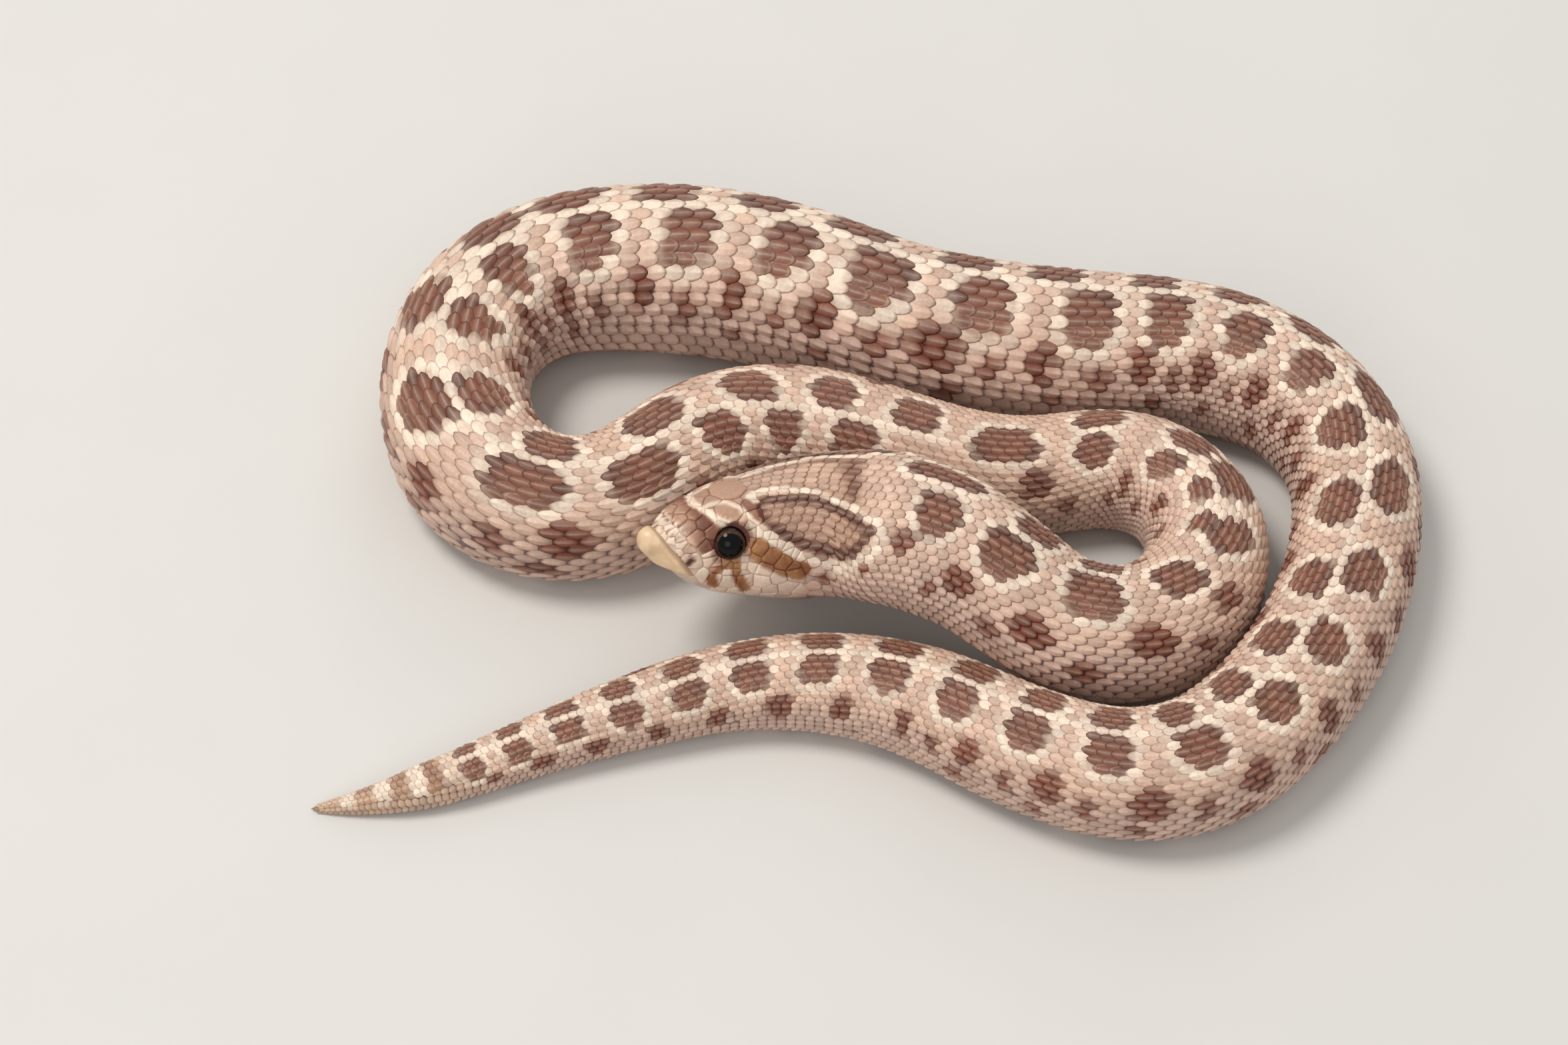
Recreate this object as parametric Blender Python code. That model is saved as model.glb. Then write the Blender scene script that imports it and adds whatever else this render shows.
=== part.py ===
"""A western hognose snake lying in a loose coil, life size, as a still museum-style model.

The animal is one long skin: a head with its own frame, and a body whose centre line is a chain of
bends on the floor. Every node is a length of that skin closed at both ends, with a thin gap to the next.
Lengths below are in millimetres and angles in degrees; the objects themselves are in metres, +Z up,
with the floor at zero and the origin under the middle of the coil. "Along" is the distance from the
back of the skull towards the tail tip, and it is negative on the head.
"""

import math

import bmesh
import bpy
import numpy as np
from mathutils import Euler, Matrix, Vector

MM = 0.001
GAP = 0.3

# The body's route: (length, turn) of each bend from the nape to the tail tip, a left turn positive.
BENDS = (
    (21, -33),  # neck, coming down off the coil behind it
    (31, 165),  # the tight inner coil
    (10, 69),
    (16, -37),  # along the back run
    (8, 4),
    (18, 65),  # behind the head
    (21, -114),  # left loop
    (13, -38),
    (16, -72),
    (27, -31),  # long back run
    (11, 17),
    (18, 8),
    (12, -30),
    (17, -63),  # right loop
    (31, -42),
    (14, -62),
    (12, -17),  # front run
    (27, 52),
    (21, 8),
    (15, -25),  # tail
)
BEND_BLEND = 7.0  # each change of curvature is spread over this length
ROUTE_STEP = 0.5
ANCHOR_ALONG = 185.0
ANCHOR_PLACE = (1.68, 21.79)
ANCHOR_HEADING = -19.8

# Girth: (along, width, height).
GIRTH = (
    (0, 15.4, 11.2),
    (10, 14.8, 11.2),
    (21, 13.2, 11.2),
    (30, 13.2, 11.4),
    (45, 11.8, 10.8),
    (63, 11.2, 10.4),
    (79, 12.0, 12.0),
    (98, 13.2, 13.0),
    (112, 13.6, 12.2),
    (125, 14.6, 13.0),
    (136, 14.5, 13.0),
    (165, 16.6, 14.8),
    (186, 15.8, 14.0),
    (215, 14.4, 12.8),
    (236, 12.4, 11.2),
    (268, 12.6, 11.2),
    (286, 11.7, 10.4),
    (298, 10.9, 9.6),
    (318, 8.4, 7.4),
    (328, 7.2, 6.3),
    (338, 5.6, 5.0),
    (348.5, 4.1, 3.6),
    (353, 2.7, 2.4),
    (356.5, 1.5, 1.3),
    (359, 0.7, 0.6),
)
# Height of the belly over the floor, from the raised neck down: (along, height).
LIFT = ((0, 6.2), (8, 7.0), (14, 6.2), (20, 4.2), (27, 1.5), (35, 0.0))
WIDEST_LEVEL = 0.46  # of the height
BELLY_SQUARENESS = 2.7
BELLY_SINK = 0.3  # the belly's curve would dip this far below the floor, which leaves its flat strip

# Head frame: origin midway between the eyes, +X to the snout, +Y to its left, +Z up.
HEAD_PLACE = (-15.38, -8.25, 12.9)
HEAD_YAW, HEAD_PITCH, HEAD_ROLL = 24.0, -16.0, 18.0
SKULL_BACK = 9.5  # from the eyes to the nape
SNOUT_TIP = 7.4
# Head sections: (x, half width, top, level of the widest point, bottom).
HEAD_SECTIONS = (
    (7.4, 0.3, -0.4, -0.6, -0.8),
    (7.0, 0.6, -0.3, -0.7, -1.2),
    (6.2, 1.0, 0.2, -0.9, -2.0),
    (5.4, 1.6, 0.9, -1.3, -3.0),
    (4.4, 2.7, 1.6, -1.8, -4.0),
    (2.5, 3.8, 2.4, -2.3, -5.5),
    (0.0, 4.6, 3.1, -2.5, -6.5),
    (-3.0, 5.6, 3.5, -2.5, -7.1),
    (-6.0, 6.5, 3.7, -2.4, -7.7),
    (-9.5, 7.2, 3.8, -2.1, -8.4),
)
CROWN_SQUARENESS = 2.6
THROAT_SQUARENESS = 2.3
BODY_SQUARENESS = 2.1
JOIN = (-3.0, 7.0)  # along: the head's sections turn into the body's over this stretch

# The mouth's line in the head frame, (x, z) from the chin to the corner, and the jaw's back.
MOUTH = ((9.0, -2.8), (5.0, -3.2), (2.5, -4.3), (0.0, -4.8), (-2.5, -4.6), (-5.0, -3.9), (-6.8, -3.4))
# The rostral scale is the front of the snout, ahead of a leaning plane through this (x, z).
ROSTRAL_ROOT = (5.9, 0.0)
ROSTRAL_LEAN = 33.0
EYE_RADIUS = 1.6
EYE_PLACE = (-0.2, 3.35, -0.1)

# Where the body is parted: along, from the nape to the tail tip.
CUTS = (6, 26, 39, 52, 84, 104, 115, 127, 150, 190, 222, 239, 262, 280, 300, 338)
BODY_SIDES, BODY_STEP = 20, 3.0
HEAD_SIDES, HEAD_STEP = 30, 1.0
CUTTER_REACH = 12.0
TIP_ALONG = sum(length for length, _ in BENDS)

GROUND = (0.62, 0.45, 0.33)
IVORY = (0.66, 0.47, 0.30)
EYE_BLACK = (0.012, 0.008, 0.007)


def profile(rows, at, column=1):
    """A smooth curve through one column of the rows, which are sorted by their first column."""
    xs = np.array([row[0] for row in rows], float)
    ys = np.array([row[column] for row in rows], float)
    if xs[0] > xs[-1]:
        xs, ys = xs[::-1], ys[::-1]
    steps = np.diff(ys) / np.diff(xs)
    slopes = np.zeros(len(xs))
    for i in range(1, len(xs) - 1):
        if steps[i - 1] * steps[i] > 0:
            slopes[i] = 2 * steps[i - 1] * steps[i] / (steps[i - 1] + steps[i])
    at = min(max(at, xs[0]), xs[-1])
    i = min(max(int(np.searchsorted(xs, at)) - 1, 0), len(xs) - 2)
    width = xs[i + 1] - xs[i]
    t = (at - xs[i]) / width
    return float(
        ys[i] * (1 + 2 * t) * (1 - t) ** 2
        + ys[i + 1] * t * t * (3 - 2 * t)
        + width * (slopes[i] * t * (1 - t) ** 2 - slopes[i + 1] * t * t * (1 - t))
    )


def make_route():
    """Distances along the body with the centre line's x, y and heading at each."""
    turns = np.concatenate(
        [
            np.full(round(length / ROUTE_STEP), turn * ROUTE_STEP / length)
            for length, turn in BENDS
        ]
    )
    window = np.hanning(2 * round(BEND_BLEND / ROUTE_STEP) + 1)
    pad = len(window) // 2
    padded = np.pad(turns, pad)
    turns = np.convolve(padded, window / window.sum(), mode="valid")
    heading = np.radians(np.concatenate([[0.0], np.cumsum(turns)]))
    middle = (heading[1:] + heading[:-1]) / 2
    along = np.arange(len(heading)) * ROUTE_STEP
    anchor = round(ANCHOR_ALONG / ROUTE_STEP)
    swing = math.radians(ANCHOR_HEADING) - heading[anchor]
    x = np.concatenate([[0.0], np.cumsum(np.cos(middle + swing)) * ROUTE_STEP])
    y = np.concatenate([[0.0], np.cumsum(np.sin(middle + swing)) * ROUTE_STEP])
    x += ANCHOR_PLACE[0] - x[anchor]
    y += ANCHOR_PLACE[1] - y[anchor]
    return along, x, y, heading + swing


ROUTE = make_route()
HEAD_POSE = Matrix.Translation(HEAD_PLACE) @ (
    Euler((0.0, 0.0, math.radians(180.0 + HEAD_YAW))).to_matrix().to_4x4()
    @ Euler((0.0, math.radians(HEAD_PITCH), 0.0)).to_matrix().to_4x4()
    @ Euler((math.radians(HEAD_ROLL), 0.0, 0.0)).to_matrix().to_4x4()
)


def power(value, squareness):
    """A cosine or sine bent so that a circle becomes a squarer oval."""
    return math.copysign(abs(value) ** (2 / squareness), value)


def body_point(along, angle):
    """A point of the body's skin; angle zero is the top and a quarter turn is its left side."""
    route_along, xs, ys, headings = ROUTE
    at = max(along, 0.0)
    half = profile(GIRTH, at, 1) / 2
    height = profile(GIRTH, at, 2)
    middle = height * WIDEST_LEVEL
    c, s = math.cos(angle), math.sin(angle)
    if c > 0:
        side = half * power(s, BODY_SQUARENESS)
        up = middle + (height - middle) * power(c, BODY_SQUARENESS)
    else:
        sink = BELLY_SINK * min(1.0, height / 4)
        side = half * power(s, BELLY_SQUARENESS)
        up = max(0.0, middle + (middle + sink) * power(c, BELLY_SQUARENESS))
    heading = float(np.interp(at, route_along, headings))
    x = float(np.interp(at, route_along, xs)) + min(along, 0.0) * math.cos(heading)
    y = float(np.interp(at, route_along, ys)) + min(along, 0.0) * math.sin(heading)
    # Seen from behind the animal, its left is on the left of the heading turned round.
    return Vector(
        (
            x + side * math.sin(heading),
            y - side * math.cos(heading),
            profile(LIFT, at) + up,
        )
    )


def head_point(along, angle):
    """A point of the head's skin, at the same angles as the body's."""
    x = -along - SKULL_BACK
    half, top, middle, bottom = (profile(HEAD_SECTIONS, x, n) for n in (1, 2, 3, 4))
    c, s = math.cos(angle), math.sin(angle)
    if c > 0:
        side = half * power(s, CROWN_SQUARENESS)
        up = middle + (top - middle) * power(c, CROWN_SQUARENESS)
    else:
        side = half * power(s, THROAT_SQUARENESS)
        up = middle + (middle - bottom) * power(c, THROAT_SQUARENESS)
    return HEAD_POSE @ Vector((x, side, up))


def skin_point(along, angle):
    start, end = JOIN
    t = min(max((along - start) / (end - start), 0.0), 1.0)
    share = t * t * (3 - 2 * t)
    if share == 0:
        return head_point(along, angle)
    if share == 1:
        return body_point(along, angle)
    return head_point(along, angle).lerp(body_point(along, angle), share)


def material(name, colour, roughness):
    made = bpy.data.materials.new(name)
    made.use_nodes = True
    shader = made.node_tree.nodes["Principled BSDF"]
    shader.inputs["Base Color"].default_value = (*colour, 1.0)
    shader.inputs["Roughness"].default_value = roughness
    shader.inputs["Metallic"].default_value = 0.0
    return made


def finish(name, bm, colour, roughness):
    """The bmesh as a smooth-shaded object of its own, scaled to metres."""
    bmesh.ops.scale(bm, vec=(MM, MM, MM), verts=bm.verts)
    bmesh.ops.recalc_face_normals(bm, faces=bm.faces)
    mesh = bpy.data.meshes.new(name)
    bm.to_mesh(mesh)
    bm.free()
    mesh.shade_smooth()
    mesh.set_sharp_from_angle(angle=math.radians(50))
    mesh.materials.append(material(name + "_material", colour, roughness))
    made = bpy.data.objects.new(name, mesh)
    bpy.context.scene.collection.objects.link(made)
    return made


def length_of_skin(start, end, sides, step):
    """A closed length of the skin between two distances along, as a wrapped grid with both ends filled."""
    bm = bmesh.new()
    rings = max(2, math.ceil((end - start) / step))
    bmesh.ops.create_grid(bm, x_segments=rings, y_segments=sides, size=0.5)
    for vert in bm.verts:
        along = start + (end - start) * (vert.co.x + 0.5)
        vert.co = skin_point(along, 2 * math.pi * (vert.co.y + 0.5) + math.pi / sides)
    bmesh.ops.remove_doubles(bm, verts=bm.verts, dist=1e-4)
    rims = [edge for edge in bm.edges if edge.is_boundary]
    bmesh.ops.holes_fill(bm, edges=rims)
    return bm


def make_body():
    trunks = [f"trunk_{n}" for n in range(1, len(CUTS) - 2)]
    ends = [*CUTS[1:], TIP_ALONG]
    for name, start, end in zip(["neck", *trunks, "tail", "tail_tip"], CUTS, ends):
        bm = length_of_skin(start + GAP / 2, end - GAP / 2, BODY_SIDES, BODY_STEP)
        finish(name, bm, GROUND, 0.5)


def cutter(name, bm):
    """A hidden solid that parts the head's pieces."""
    bmesh.ops.transform(bm, matrix=HEAD_POSE, verts=bm.verts)
    made = finish(name, bm, GROUND, 0.5)
    made.hide_render = True
    made.display_type = "WIRE"
    return made


def prism(outline):
    """A solid across the whole head, from an outline of (x, z) in the head's middle plane."""
    bm = bmesh.new()
    rim = [bm.verts.new((x, -CUTTER_REACH, z)) for x, z in outline]
    face = bm.faces.new(rim)
    swept = bmesh.ops.extrude_face_region(bm, geom=[face])["geom"]
    moved = [item for item in swept if isinstance(item, bmesh.types.BMVert)]
    bmesh.ops.translate(bm, vec=(0, 2 * CUTTER_REACH, 0), verts=moved)
    return bm


def front_of_snout(shift):
    """The space ahead of the rostral scale's root plane, moved forward by the shift."""
    lean = math.radians(ROSTRAL_LEAN)
    x, z = ROSTRAL_ROOT[0] + shift, ROSTRAL_ROOT[1]
    rise = CUTTER_REACH * math.cos(lean)
    run = CUTTER_REACH * math.sin(lean)
    return prism(
        [
            (x + run, z + rise),
            (x - run, z - rise),
            (x + CUTTER_REACH, z - rise),
            (x + CUTTER_REACH + run, z + rise),
        ]
    )


def below_mouth(shift):
    """The space under the mouth's line as far back as its corner, moved down by the shift."""
    back = MOUTH[-1][0] + shift
    line = [(max(x, back), z - shift) for x, z in MOUTH]
    return prism([*line, (back, -CUTTER_REACH), (MOUTH[0][0], -CUTTER_REACH)])


def cut(target, operation, tool):
    modifier = target.modifiers.new(tool.name, "BOOLEAN")
    modifier.operation = operation
    modifier.object = tool


def eyeball(side, radius):
    bm = bmesh.new()
    bmesh.ops.create_uvsphere(bm, u_segments=24, v_segments=14, radius=radius)
    x, y, z = EYE_PLACE
    bmesh.ops.translate(bm, vec=(x, side * y, z), verts=bm.verts)
    return bm


def make_head():
    def whole():
        return length_of_skin(-SKULL_BACK - SNOUT_TIP, CUTS[0] - GAP / 2, HEAD_SIDES, HEAD_STEP)

    ahead = cutter("cut_ahead_of_root", front_of_snout(GAP / 2))
    behind = cutter("cut_behind_root", front_of_snout(-GAP / 2))
    jaw_space = cutter("cut_jaw", below_mouth(GAP / 2))
    upper_space = cutter("cut_mouth", below_mouth(-GAP / 2))
    head = finish("head", whole(), GROUND, 0.5)
    cut(head, "DIFFERENCE", behind)
    cut(head, "DIFFERENCE", upper_space)
    rostral = finish("rostral_scale", whole(), IVORY, 0.4)
    cut(rostral, "INTERSECT", ahead)
    cut(rostral, "DIFFERENCE", upper_space)
    jaw = finish("lower_jaw", whole(), GROUND, 0.5)
    cut(jaw, "INTERSECT", jaw_space)
    cut(jaw, "DIFFERENCE", behind)
    for name, side in (("left", 1), ("right", -1)):
        bm = eyeball(side, EYE_RADIUS)
        bmesh.ops.transform(bm, matrix=HEAD_POSE, verts=bm.verts)
        finish("eye_" + name, bm, EYE_BLACK, 0.08)
        cut(head, "DIFFERENCE", cutter("socket_" + name, eyeball(side, EYE_RADIUS + GAP)))


def main():
    for old in list(bpy.data.objects):
        bpy.data.objects.remove(old, do_unlink=True)
    make_body()
    make_head()


main()
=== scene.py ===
"""A western hognose snake in a loose coil, dressed over its solids.

The hide is one closed skin in place of the solid lengths. Keeled scales, belly scutes and head plates are
solid pieces laid over it, and the shield on the snout and the eyes stay apart. Everything that lies on the
hide is placed by two lengths: "along", from the nape to the tail tip and negative on the head, and "across",
round the body from the middle line of the back, with the animal's left positive. Both are in millimetres.
"""

import math
from collections import namedtuple

import bmesh
import bpy
import numpy as np
from bpy.props import FloatProperty, FloatVectorProperty, PointerProperty
from bpy.types import Operator, Panel, PropertyGroup
from mathutils import Euler, Matrix, Vector


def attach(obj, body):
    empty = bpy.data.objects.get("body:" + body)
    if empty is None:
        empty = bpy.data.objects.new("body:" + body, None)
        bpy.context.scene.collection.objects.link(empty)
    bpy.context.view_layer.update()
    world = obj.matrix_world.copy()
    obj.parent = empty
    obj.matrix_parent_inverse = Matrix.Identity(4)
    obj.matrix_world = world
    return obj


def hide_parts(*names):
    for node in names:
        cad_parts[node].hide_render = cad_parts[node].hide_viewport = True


bl_info = {
    "name": "Coiled Hognose Snake",
    "version": (1, 0, 0),
    "blender": (4, 5, 0),
    "location": "View3D > Sidebar > Snake",
    "description": "Dresses a coiled western hognose snake with hide, scales, plates and eyes",
    "category": "Object",
}

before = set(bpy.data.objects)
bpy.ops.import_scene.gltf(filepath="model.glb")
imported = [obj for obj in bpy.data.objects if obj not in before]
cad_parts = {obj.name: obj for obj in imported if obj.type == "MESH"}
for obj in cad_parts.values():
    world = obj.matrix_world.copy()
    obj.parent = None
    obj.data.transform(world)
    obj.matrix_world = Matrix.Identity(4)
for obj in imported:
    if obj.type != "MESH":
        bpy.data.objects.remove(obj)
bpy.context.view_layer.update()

MM = 0.001

# The solids' own sizes, in millimetres and degrees.
BENDS = (
    (21, -33), (31, 165), (10, 69), (16, -37), (8, 4), (18, 65), (21, -114), (13, -38),
    (16, -72), (27, -31), (11, 17), (18, 8), (12, -30), (17, -63), (31, -42), (14, -62),
    (12, -17), (27, 52), (21, 8), (15, -25),
)
BEND_BLEND = 7.0
ROUTE_STEP = 0.5
ANCHOR_ALONG = 185.0
ANCHOR_PLACE = (1.68, 21.79)
ANCHOR_HEADING = -19.8
GIRTH = (
    (0, 15.4, 11.2), (10, 14.8, 11.2), (21, 13.2, 11.2), (30, 13.2, 11.4), (45, 11.8, 10.8),
    (63, 11.2, 10.4), (79, 12.0, 12.0), (98, 13.2, 13.0), (112, 13.6, 12.2), (125, 14.6, 13.0),
    (136, 14.5, 13.0), (165, 16.6, 14.8), (186, 15.8, 14.0), (215, 14.4, 12.8), (236, 12.4, 11.2),
    (268, 12.6, 11.2), (286, 11.7, 10.4), (298, 10.9, 9.6), (318, 8.4, 7.4), (328, 7.2, 6.3),
    (338, 5.6, 5.0), (348.5, 4.1, 3.6), (353, 2.7, 2.4), (356.5, 1.5, 1.3), (359, 0.7, 0.6),
)
LIFT = ((0, 6.2), (8, 7.0), (14, 6.2), (20, 4.2), (27, 1.5), (35, 0.0))
WIDEST_LEVEL = 0.46  # of the body's height
BELLY_SQUARENESS = 2.7
BELLY_SINK = 0.3
HEAD_PLACE = (-15.38, -8.25, 12.9)
HEAD_YAW, HEAD_PITCH, HEAD_ROLL = 24.0, -16.0, 18.0
SKULL_BACK = 9.5
SNOUT_TIP = 7.4
HEAD_SECTIONS = (
    (7.4, 0.3, -0.4, -0.6, -0.8), (7.0, 0.6, -0.3, -0.7, -1.2), (6.2, 1.0, 0.2, -0.9, -2.0),
    (5.4, 1.6, 0.9, -1.3, -3.0), (4.4, 2.7, 1.6, -1.8, -4.0), (2.5, 3.8, 2.4, -2.3, -5.5),
    (0.0, 4.6, 3.1, -2.5, -6.5), (-3.0, 5.6, 3.5, -2.5, -7.1), (-6.0, 6.5, 3.7, -2.4, -7.7),
    (-9.5, 7.2, 3.8, -2.1, -8.4),
)
CROWN_SQUARENESS = 2.6
THROAT_SQUARENESS = 2.3
BODY_SQUARENESS = 2.1
JOIN = (-3.0, 7.0)  # where the hide goes over from the head's sections to the body's
MOUTH = ((9.0, -2.8), (5.0, -3.2), (2.5, -4.3), (0.0, -4.8), (-2.5, -4.6), (-5.0, -3.9), (-6.8, -3.4))
ROSTRAL_ROOT = (5.9, 0.0)
ROSTRAL_LEAN = 33.0
EYE_RADIUS = 1.6
EYE_PLACE = (-0.2, 3.35, -0.1)
TIP_ALONG = float(sum(length for length, _ in BENDS))
SNOUT_ALONG = -SKULL_BACK - SNOUT_TIP

# How the back's middle line leans from the top of the body: (along, shift towards the animal's left).
MIDDLE_LINE = (
    (-17, 0.0), (-12, -0.2), (-7, -0.6), (-3, -0.6), (3, -0.2), (12, -1.4), (20, -1.9), (28, -2.6),
    (35, -1.8), (42, 0.3), (49, 2.0), (54, 1.0), (60, -0.2), (70, -1.6), (82, -1.8), (90, -2.0),
    (98, -0.8), (116, 0.0), (137, -1.2), (154, -1.3), (182, -2.6), (202, -1.8), (212, -2.1),
    (226, -2.3), (240, -0.6), (253, 0.4), (275, 0.3), (304, 0.7), (317, 0.0), (327, -0.7), (336, 0.0),
)

# Scale rows. Each pair of rows ends at its own distance along, where its neighbours close over it.
ROW_PAIRS = 16
ROW_ENDS = {
    12: 292.0, 9: 301.0, 14: 309.0, 6: 316.0, 11: 322.0, 4: 327.5, 8: 332.5, 13: 337.0, 3: 341.0,
    10: 345.0, 5: 348.5, 7: 351.5, 2: 354.5,
}
ROW_GAPS = {13: (122.0, 210.0), 9: (129.0, 204.0), 5: (136.0, 198.0)}
ROW_FADE = 6.0
BROAD_ROWS = {16: 1.4, 15: 1.2}  # the lowest rows' breadth against the others'
DORSAL_SHARE = 0.72  # of the way round from the back's middle line to the belly's
SCALE_PITCH = (
    (-8, 0.95), (0, 1.15), (30, 1.25), (70, 1.2), (100, 1.4), (125, 1.75), (148, 2.0), (182, 2.0),
    (200, 1.7), (218, 1.45), (250, 1.3), (290, 1.2), (320, 0.95), (345, 0.7), (359, 0.5),
)
VENT_ALONG = 300.0
SCALE_OVERLAP = (1.55, 1.12)  # a scale's length over the pitch, on the back and on the flank
SCALE_BREADTH = (0.77, 0.68)  # its half breadth over the rows' spacing, on the back and on the flank
SCALE_GROUPS = ("nape", "neck", "shoulders", "back", "flanks", "rump", "tail")

# The pairs of back blotches, counted from the nape: (along, count). A pair's left blotch lies behind its
# right one by the stagger, and both lie off the middle line by a share of the way round.
BLOTCH_COUNT = (
    (61, 7), (70, 8), (80.5, 9), (96, 11), (105, 12), (127, 14), (137.5, 15), (154, 17), (173, 19),
    (182, 20), (193, 21), (211, 23), (233, 26), (252.5, 28), (268.5, 30), (290, 33), (311, 36),
    (329.5, 39), (340, 41), (348, 43), (359, 46.5),
)
LAST_PAIR, TIP_PITCH = 46, 3.0  # the last pair has none behind it to take its spacing from
BLOTCH_STAGGER = (
    (75, -5.0), (104, -4.0), (118, -1.0), (146, -2.0), (155, 1.5), (173, 3.5), (183, 4.0), (193, 2.5),
    (203, 3.5), (212, 1.5), (227, 3.0), (262, 2.0), (290, 0.0),
)
BLOTCH_APART = (
    (10, 0.13), (60, 0.115), (116, 0.13), (150, 0.15), (172, 0.163), (205, 0.165), (226, 0.148),
    (262, 0.125), (300, 0.132), (330, 0.15), (352, 0.2),
)
BLOTCH_LENGTH = 0.28  # a back blotch's half length over the pairs' spacing
BLOTCH_BREADTH = 0.88  # its half breadth over its distance from the middle line
SIDE_LENGTH, TAIL_SIDE_LENGTH = 0.165, 0.2  # a side spot's half length over the pairs' spacing
SPOT_ROWS = (0.38, 0.445, 0.56)  # how far round the side spots and the two rows of small ones lie
BLOTCH_SQUARENESS = 2.8

# The neck's marks are less even, so each has its own place: (along, from the body's top, half length,
# half breadth, kind).
NECK_MARKS = (
    (11.3, -4.1, 3.3, 1.5, "back"), (12.3, 1.2, 2.0, 2.6, "back"), (19.4, 1.1, 2.4, 2.4, "back"),
    (20.4, -4.4, 2.2, 2.0, "back"), (27.5, 0.2, 2.6, 2.7, "back"), (28.8, -5.0, 3.0, 1.9, "back"),
    (36.0, 0.0, 2.1, 2.3, "back"), (42.7, 2.3, 1.9, 2.2, "back"), (43.6, -1.0, 1.3, 1.3, "back"),
    (48.4, 4.1, 1.9, 2.5, "back"), (47.8, -0.4, 1.3, 1.3, "back"), (53.0, 3.0, 1.7, 2.1, "back"),
    (53.0, -1.8, 1.8, 1.8, "back"), (60.4, 2.6, 2.0, 2.0, "back"), (61.3, -2.1, 2.0, 1.9, "back"),
    (69.5, -0.8, 3.0, 2.2, "back"),
    (10.0, 4.9, 1.2, 1.3, "side"), (16.8, 6.0, 1.7, 1.6, "side"), (23.5, 6.0, 1.6, 1.6, "side"),
    (31.5, 5.1, 1.6, 1.7, "side"), (38.0, 4.7, 1.1, 1.3, "side"), (49.0, -4.9, 1.2, 1.3, "side"),
    (57.0, -5.3, 1.1, 1.4, "side"), (67.0, -4.9, 1.4, 1.5, "side"), (16.0, -8.2, 1.6, 1.6, "side"),
    (24.5, -8.6, 1.6, 1.6, "side"), (35.0, -6.0, 1.4, 1.5, "side"), (57.0, 6.6, 1.4, 1.6, "side"),
    (14.0, 8.3, 0.9, 1.0, "low"), (20.5, 8.3, 0.9, 1.0, "low"), (27.0, 8.4, 1.0, 1.0, "low"),
    (35.0, 7.3, 0.9, 0.9, "low"), (53.5, -7.3, 0.9, 1.0, "low"), (64.5, -7.4, 0.9, 1.1, "low"),
    (44.0, -5.6, 0.9, 1.0, "low"), (59.8, -7.0, 0.8, 1.0, "low"),
)
NECK_END = 73.0
TAIL_TAN = (344.5, 347.5)  # between these the tail turns tan
TAIL_BARS = (349.3, 3.2)  # where one pale bar lies near the tail's tip, and the bars' spacing

# The head's markings on the left side, as paths of (along, across).
NAPE_AXIS = ((-6.6, 4.2), (-4, 5.6), (-1.5, 6.6), (1.5, 6.5), (4, 6.1), (6.8, 5.4))
NAPE_BREADTH = (
    (-6.7, 0.9), (-6.2, 1.8), (-4, 2.8), (-1.5, 3.25), (1.5, 2.9), (4, 2.2), (6, 1.1), (6.8, 0.3),
)
NAPE_BAND = ((-7, 1.4), (-5.6, 1.5), (-3, 1.9), (-1, 2.4), (1.5, 2.9), (4, 3.2))
INNER_STRIPE = (
    (-6.4, 2.9), (-6.7, 2.2), (-5.6, 1.7), (-3, 2.1), (-1, 2.7), (1.5, 3.3), (4, 3.7), (6.6, 4.6), (7.6, 5.8),
)
CHEEK_STRIPE = (
    (-7.4, 5.3), (-6.5, 6.5), (-5.5, 7.5), (-4, 9.0), (-2, 10.4), (0, 10.5), (4.5, 8.8), (7.2, 7.2),
)
CORNER_STRIPE = ((1.0, 10.8), (5.0, 9.6), (7.5, 7.4), (7.6, 5.8))
BROW_STRIPE = ((-10.7, 1.3), (-9.2, 1.7), (-8.1, 3.2), (-7.6, 4.5), (-7.2, 5.5))
CROSS_STRIPE = ((-11.7, 0.0), (-11.2, 1.6), (-10.6, 3.1), (-9.7, 4.2))
PALE_STRIPES = ((INNER_STRIPE, 0.42), (CHEEK_STRIPE, 0.5), (BROW_STRIPE, 0.26), (CROSS_STRIPE, 0.36))
SNOUT_BAND = ((-12.9, 0.0), (-12.5, 1.6), (-12.0, 3.2), (-11.5, 4.7))
CHEEK_PATCH = ((-7.3, 7.5), (-6.0, 9.0), (-4.4, 10.4), (-3.1, 11.1))
LIP_BARS = (
    ((-9.6, 8.1), (-10.5, 8.1), (-11.1, 8.7), (-10.6, 10.6)),
    ((-9.2, 8.2), (-9.0, 9.4), (-8.4, 10.7), (-7.7, 12.2)),
)
JAW_FLECKS = ((-0.5, 12.1), (6.0, 9.4))
NOSTRIL = (-13.1, 6.0)
EYE = (-9.5, 6.0)  # where the eyes stand on the hide


def curve(rows, at, column=1):
    """A smooth curve through one column of the rows, which are sorted by their first column."""
    rows = np.array(rows, float)
    if rows[0, 0] > rows[-1, 0]:
        rows = rows[::-1]
    xs, ys = rows[:, 0], rows[:, column]
    steps = np.diff(ys) / np.diff(xs)
    slopes = np.zeros(len(xs))
    same = steps[:-1] * steps[1:] > 0
    total = np.where(same, steps[:-1] + steps[1:], 1.0)
    slopes[1:-1] = np.where(same, 2 * steps[:-1] * steps[1:] / total, 0.0)
    at = np.clip(at, xs[0], xs[-1])
    i = np.clip(np.searchsorted(xs, at) - 1, 0, len(xs) - 2)
    width = xs[i + 1] - xs[i]
    t = (at - xs[i]) / width
    return (
        ys[i] * (1 + 2 * t) * (1 - t) ** 2
        + ys[i + 1] * t * t * (3 - 2 * t)
        + width * (slopes[i] * t * (1 - t) ** 2 - slopes[i + 1] * t * t * (1 - t))
    )


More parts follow.
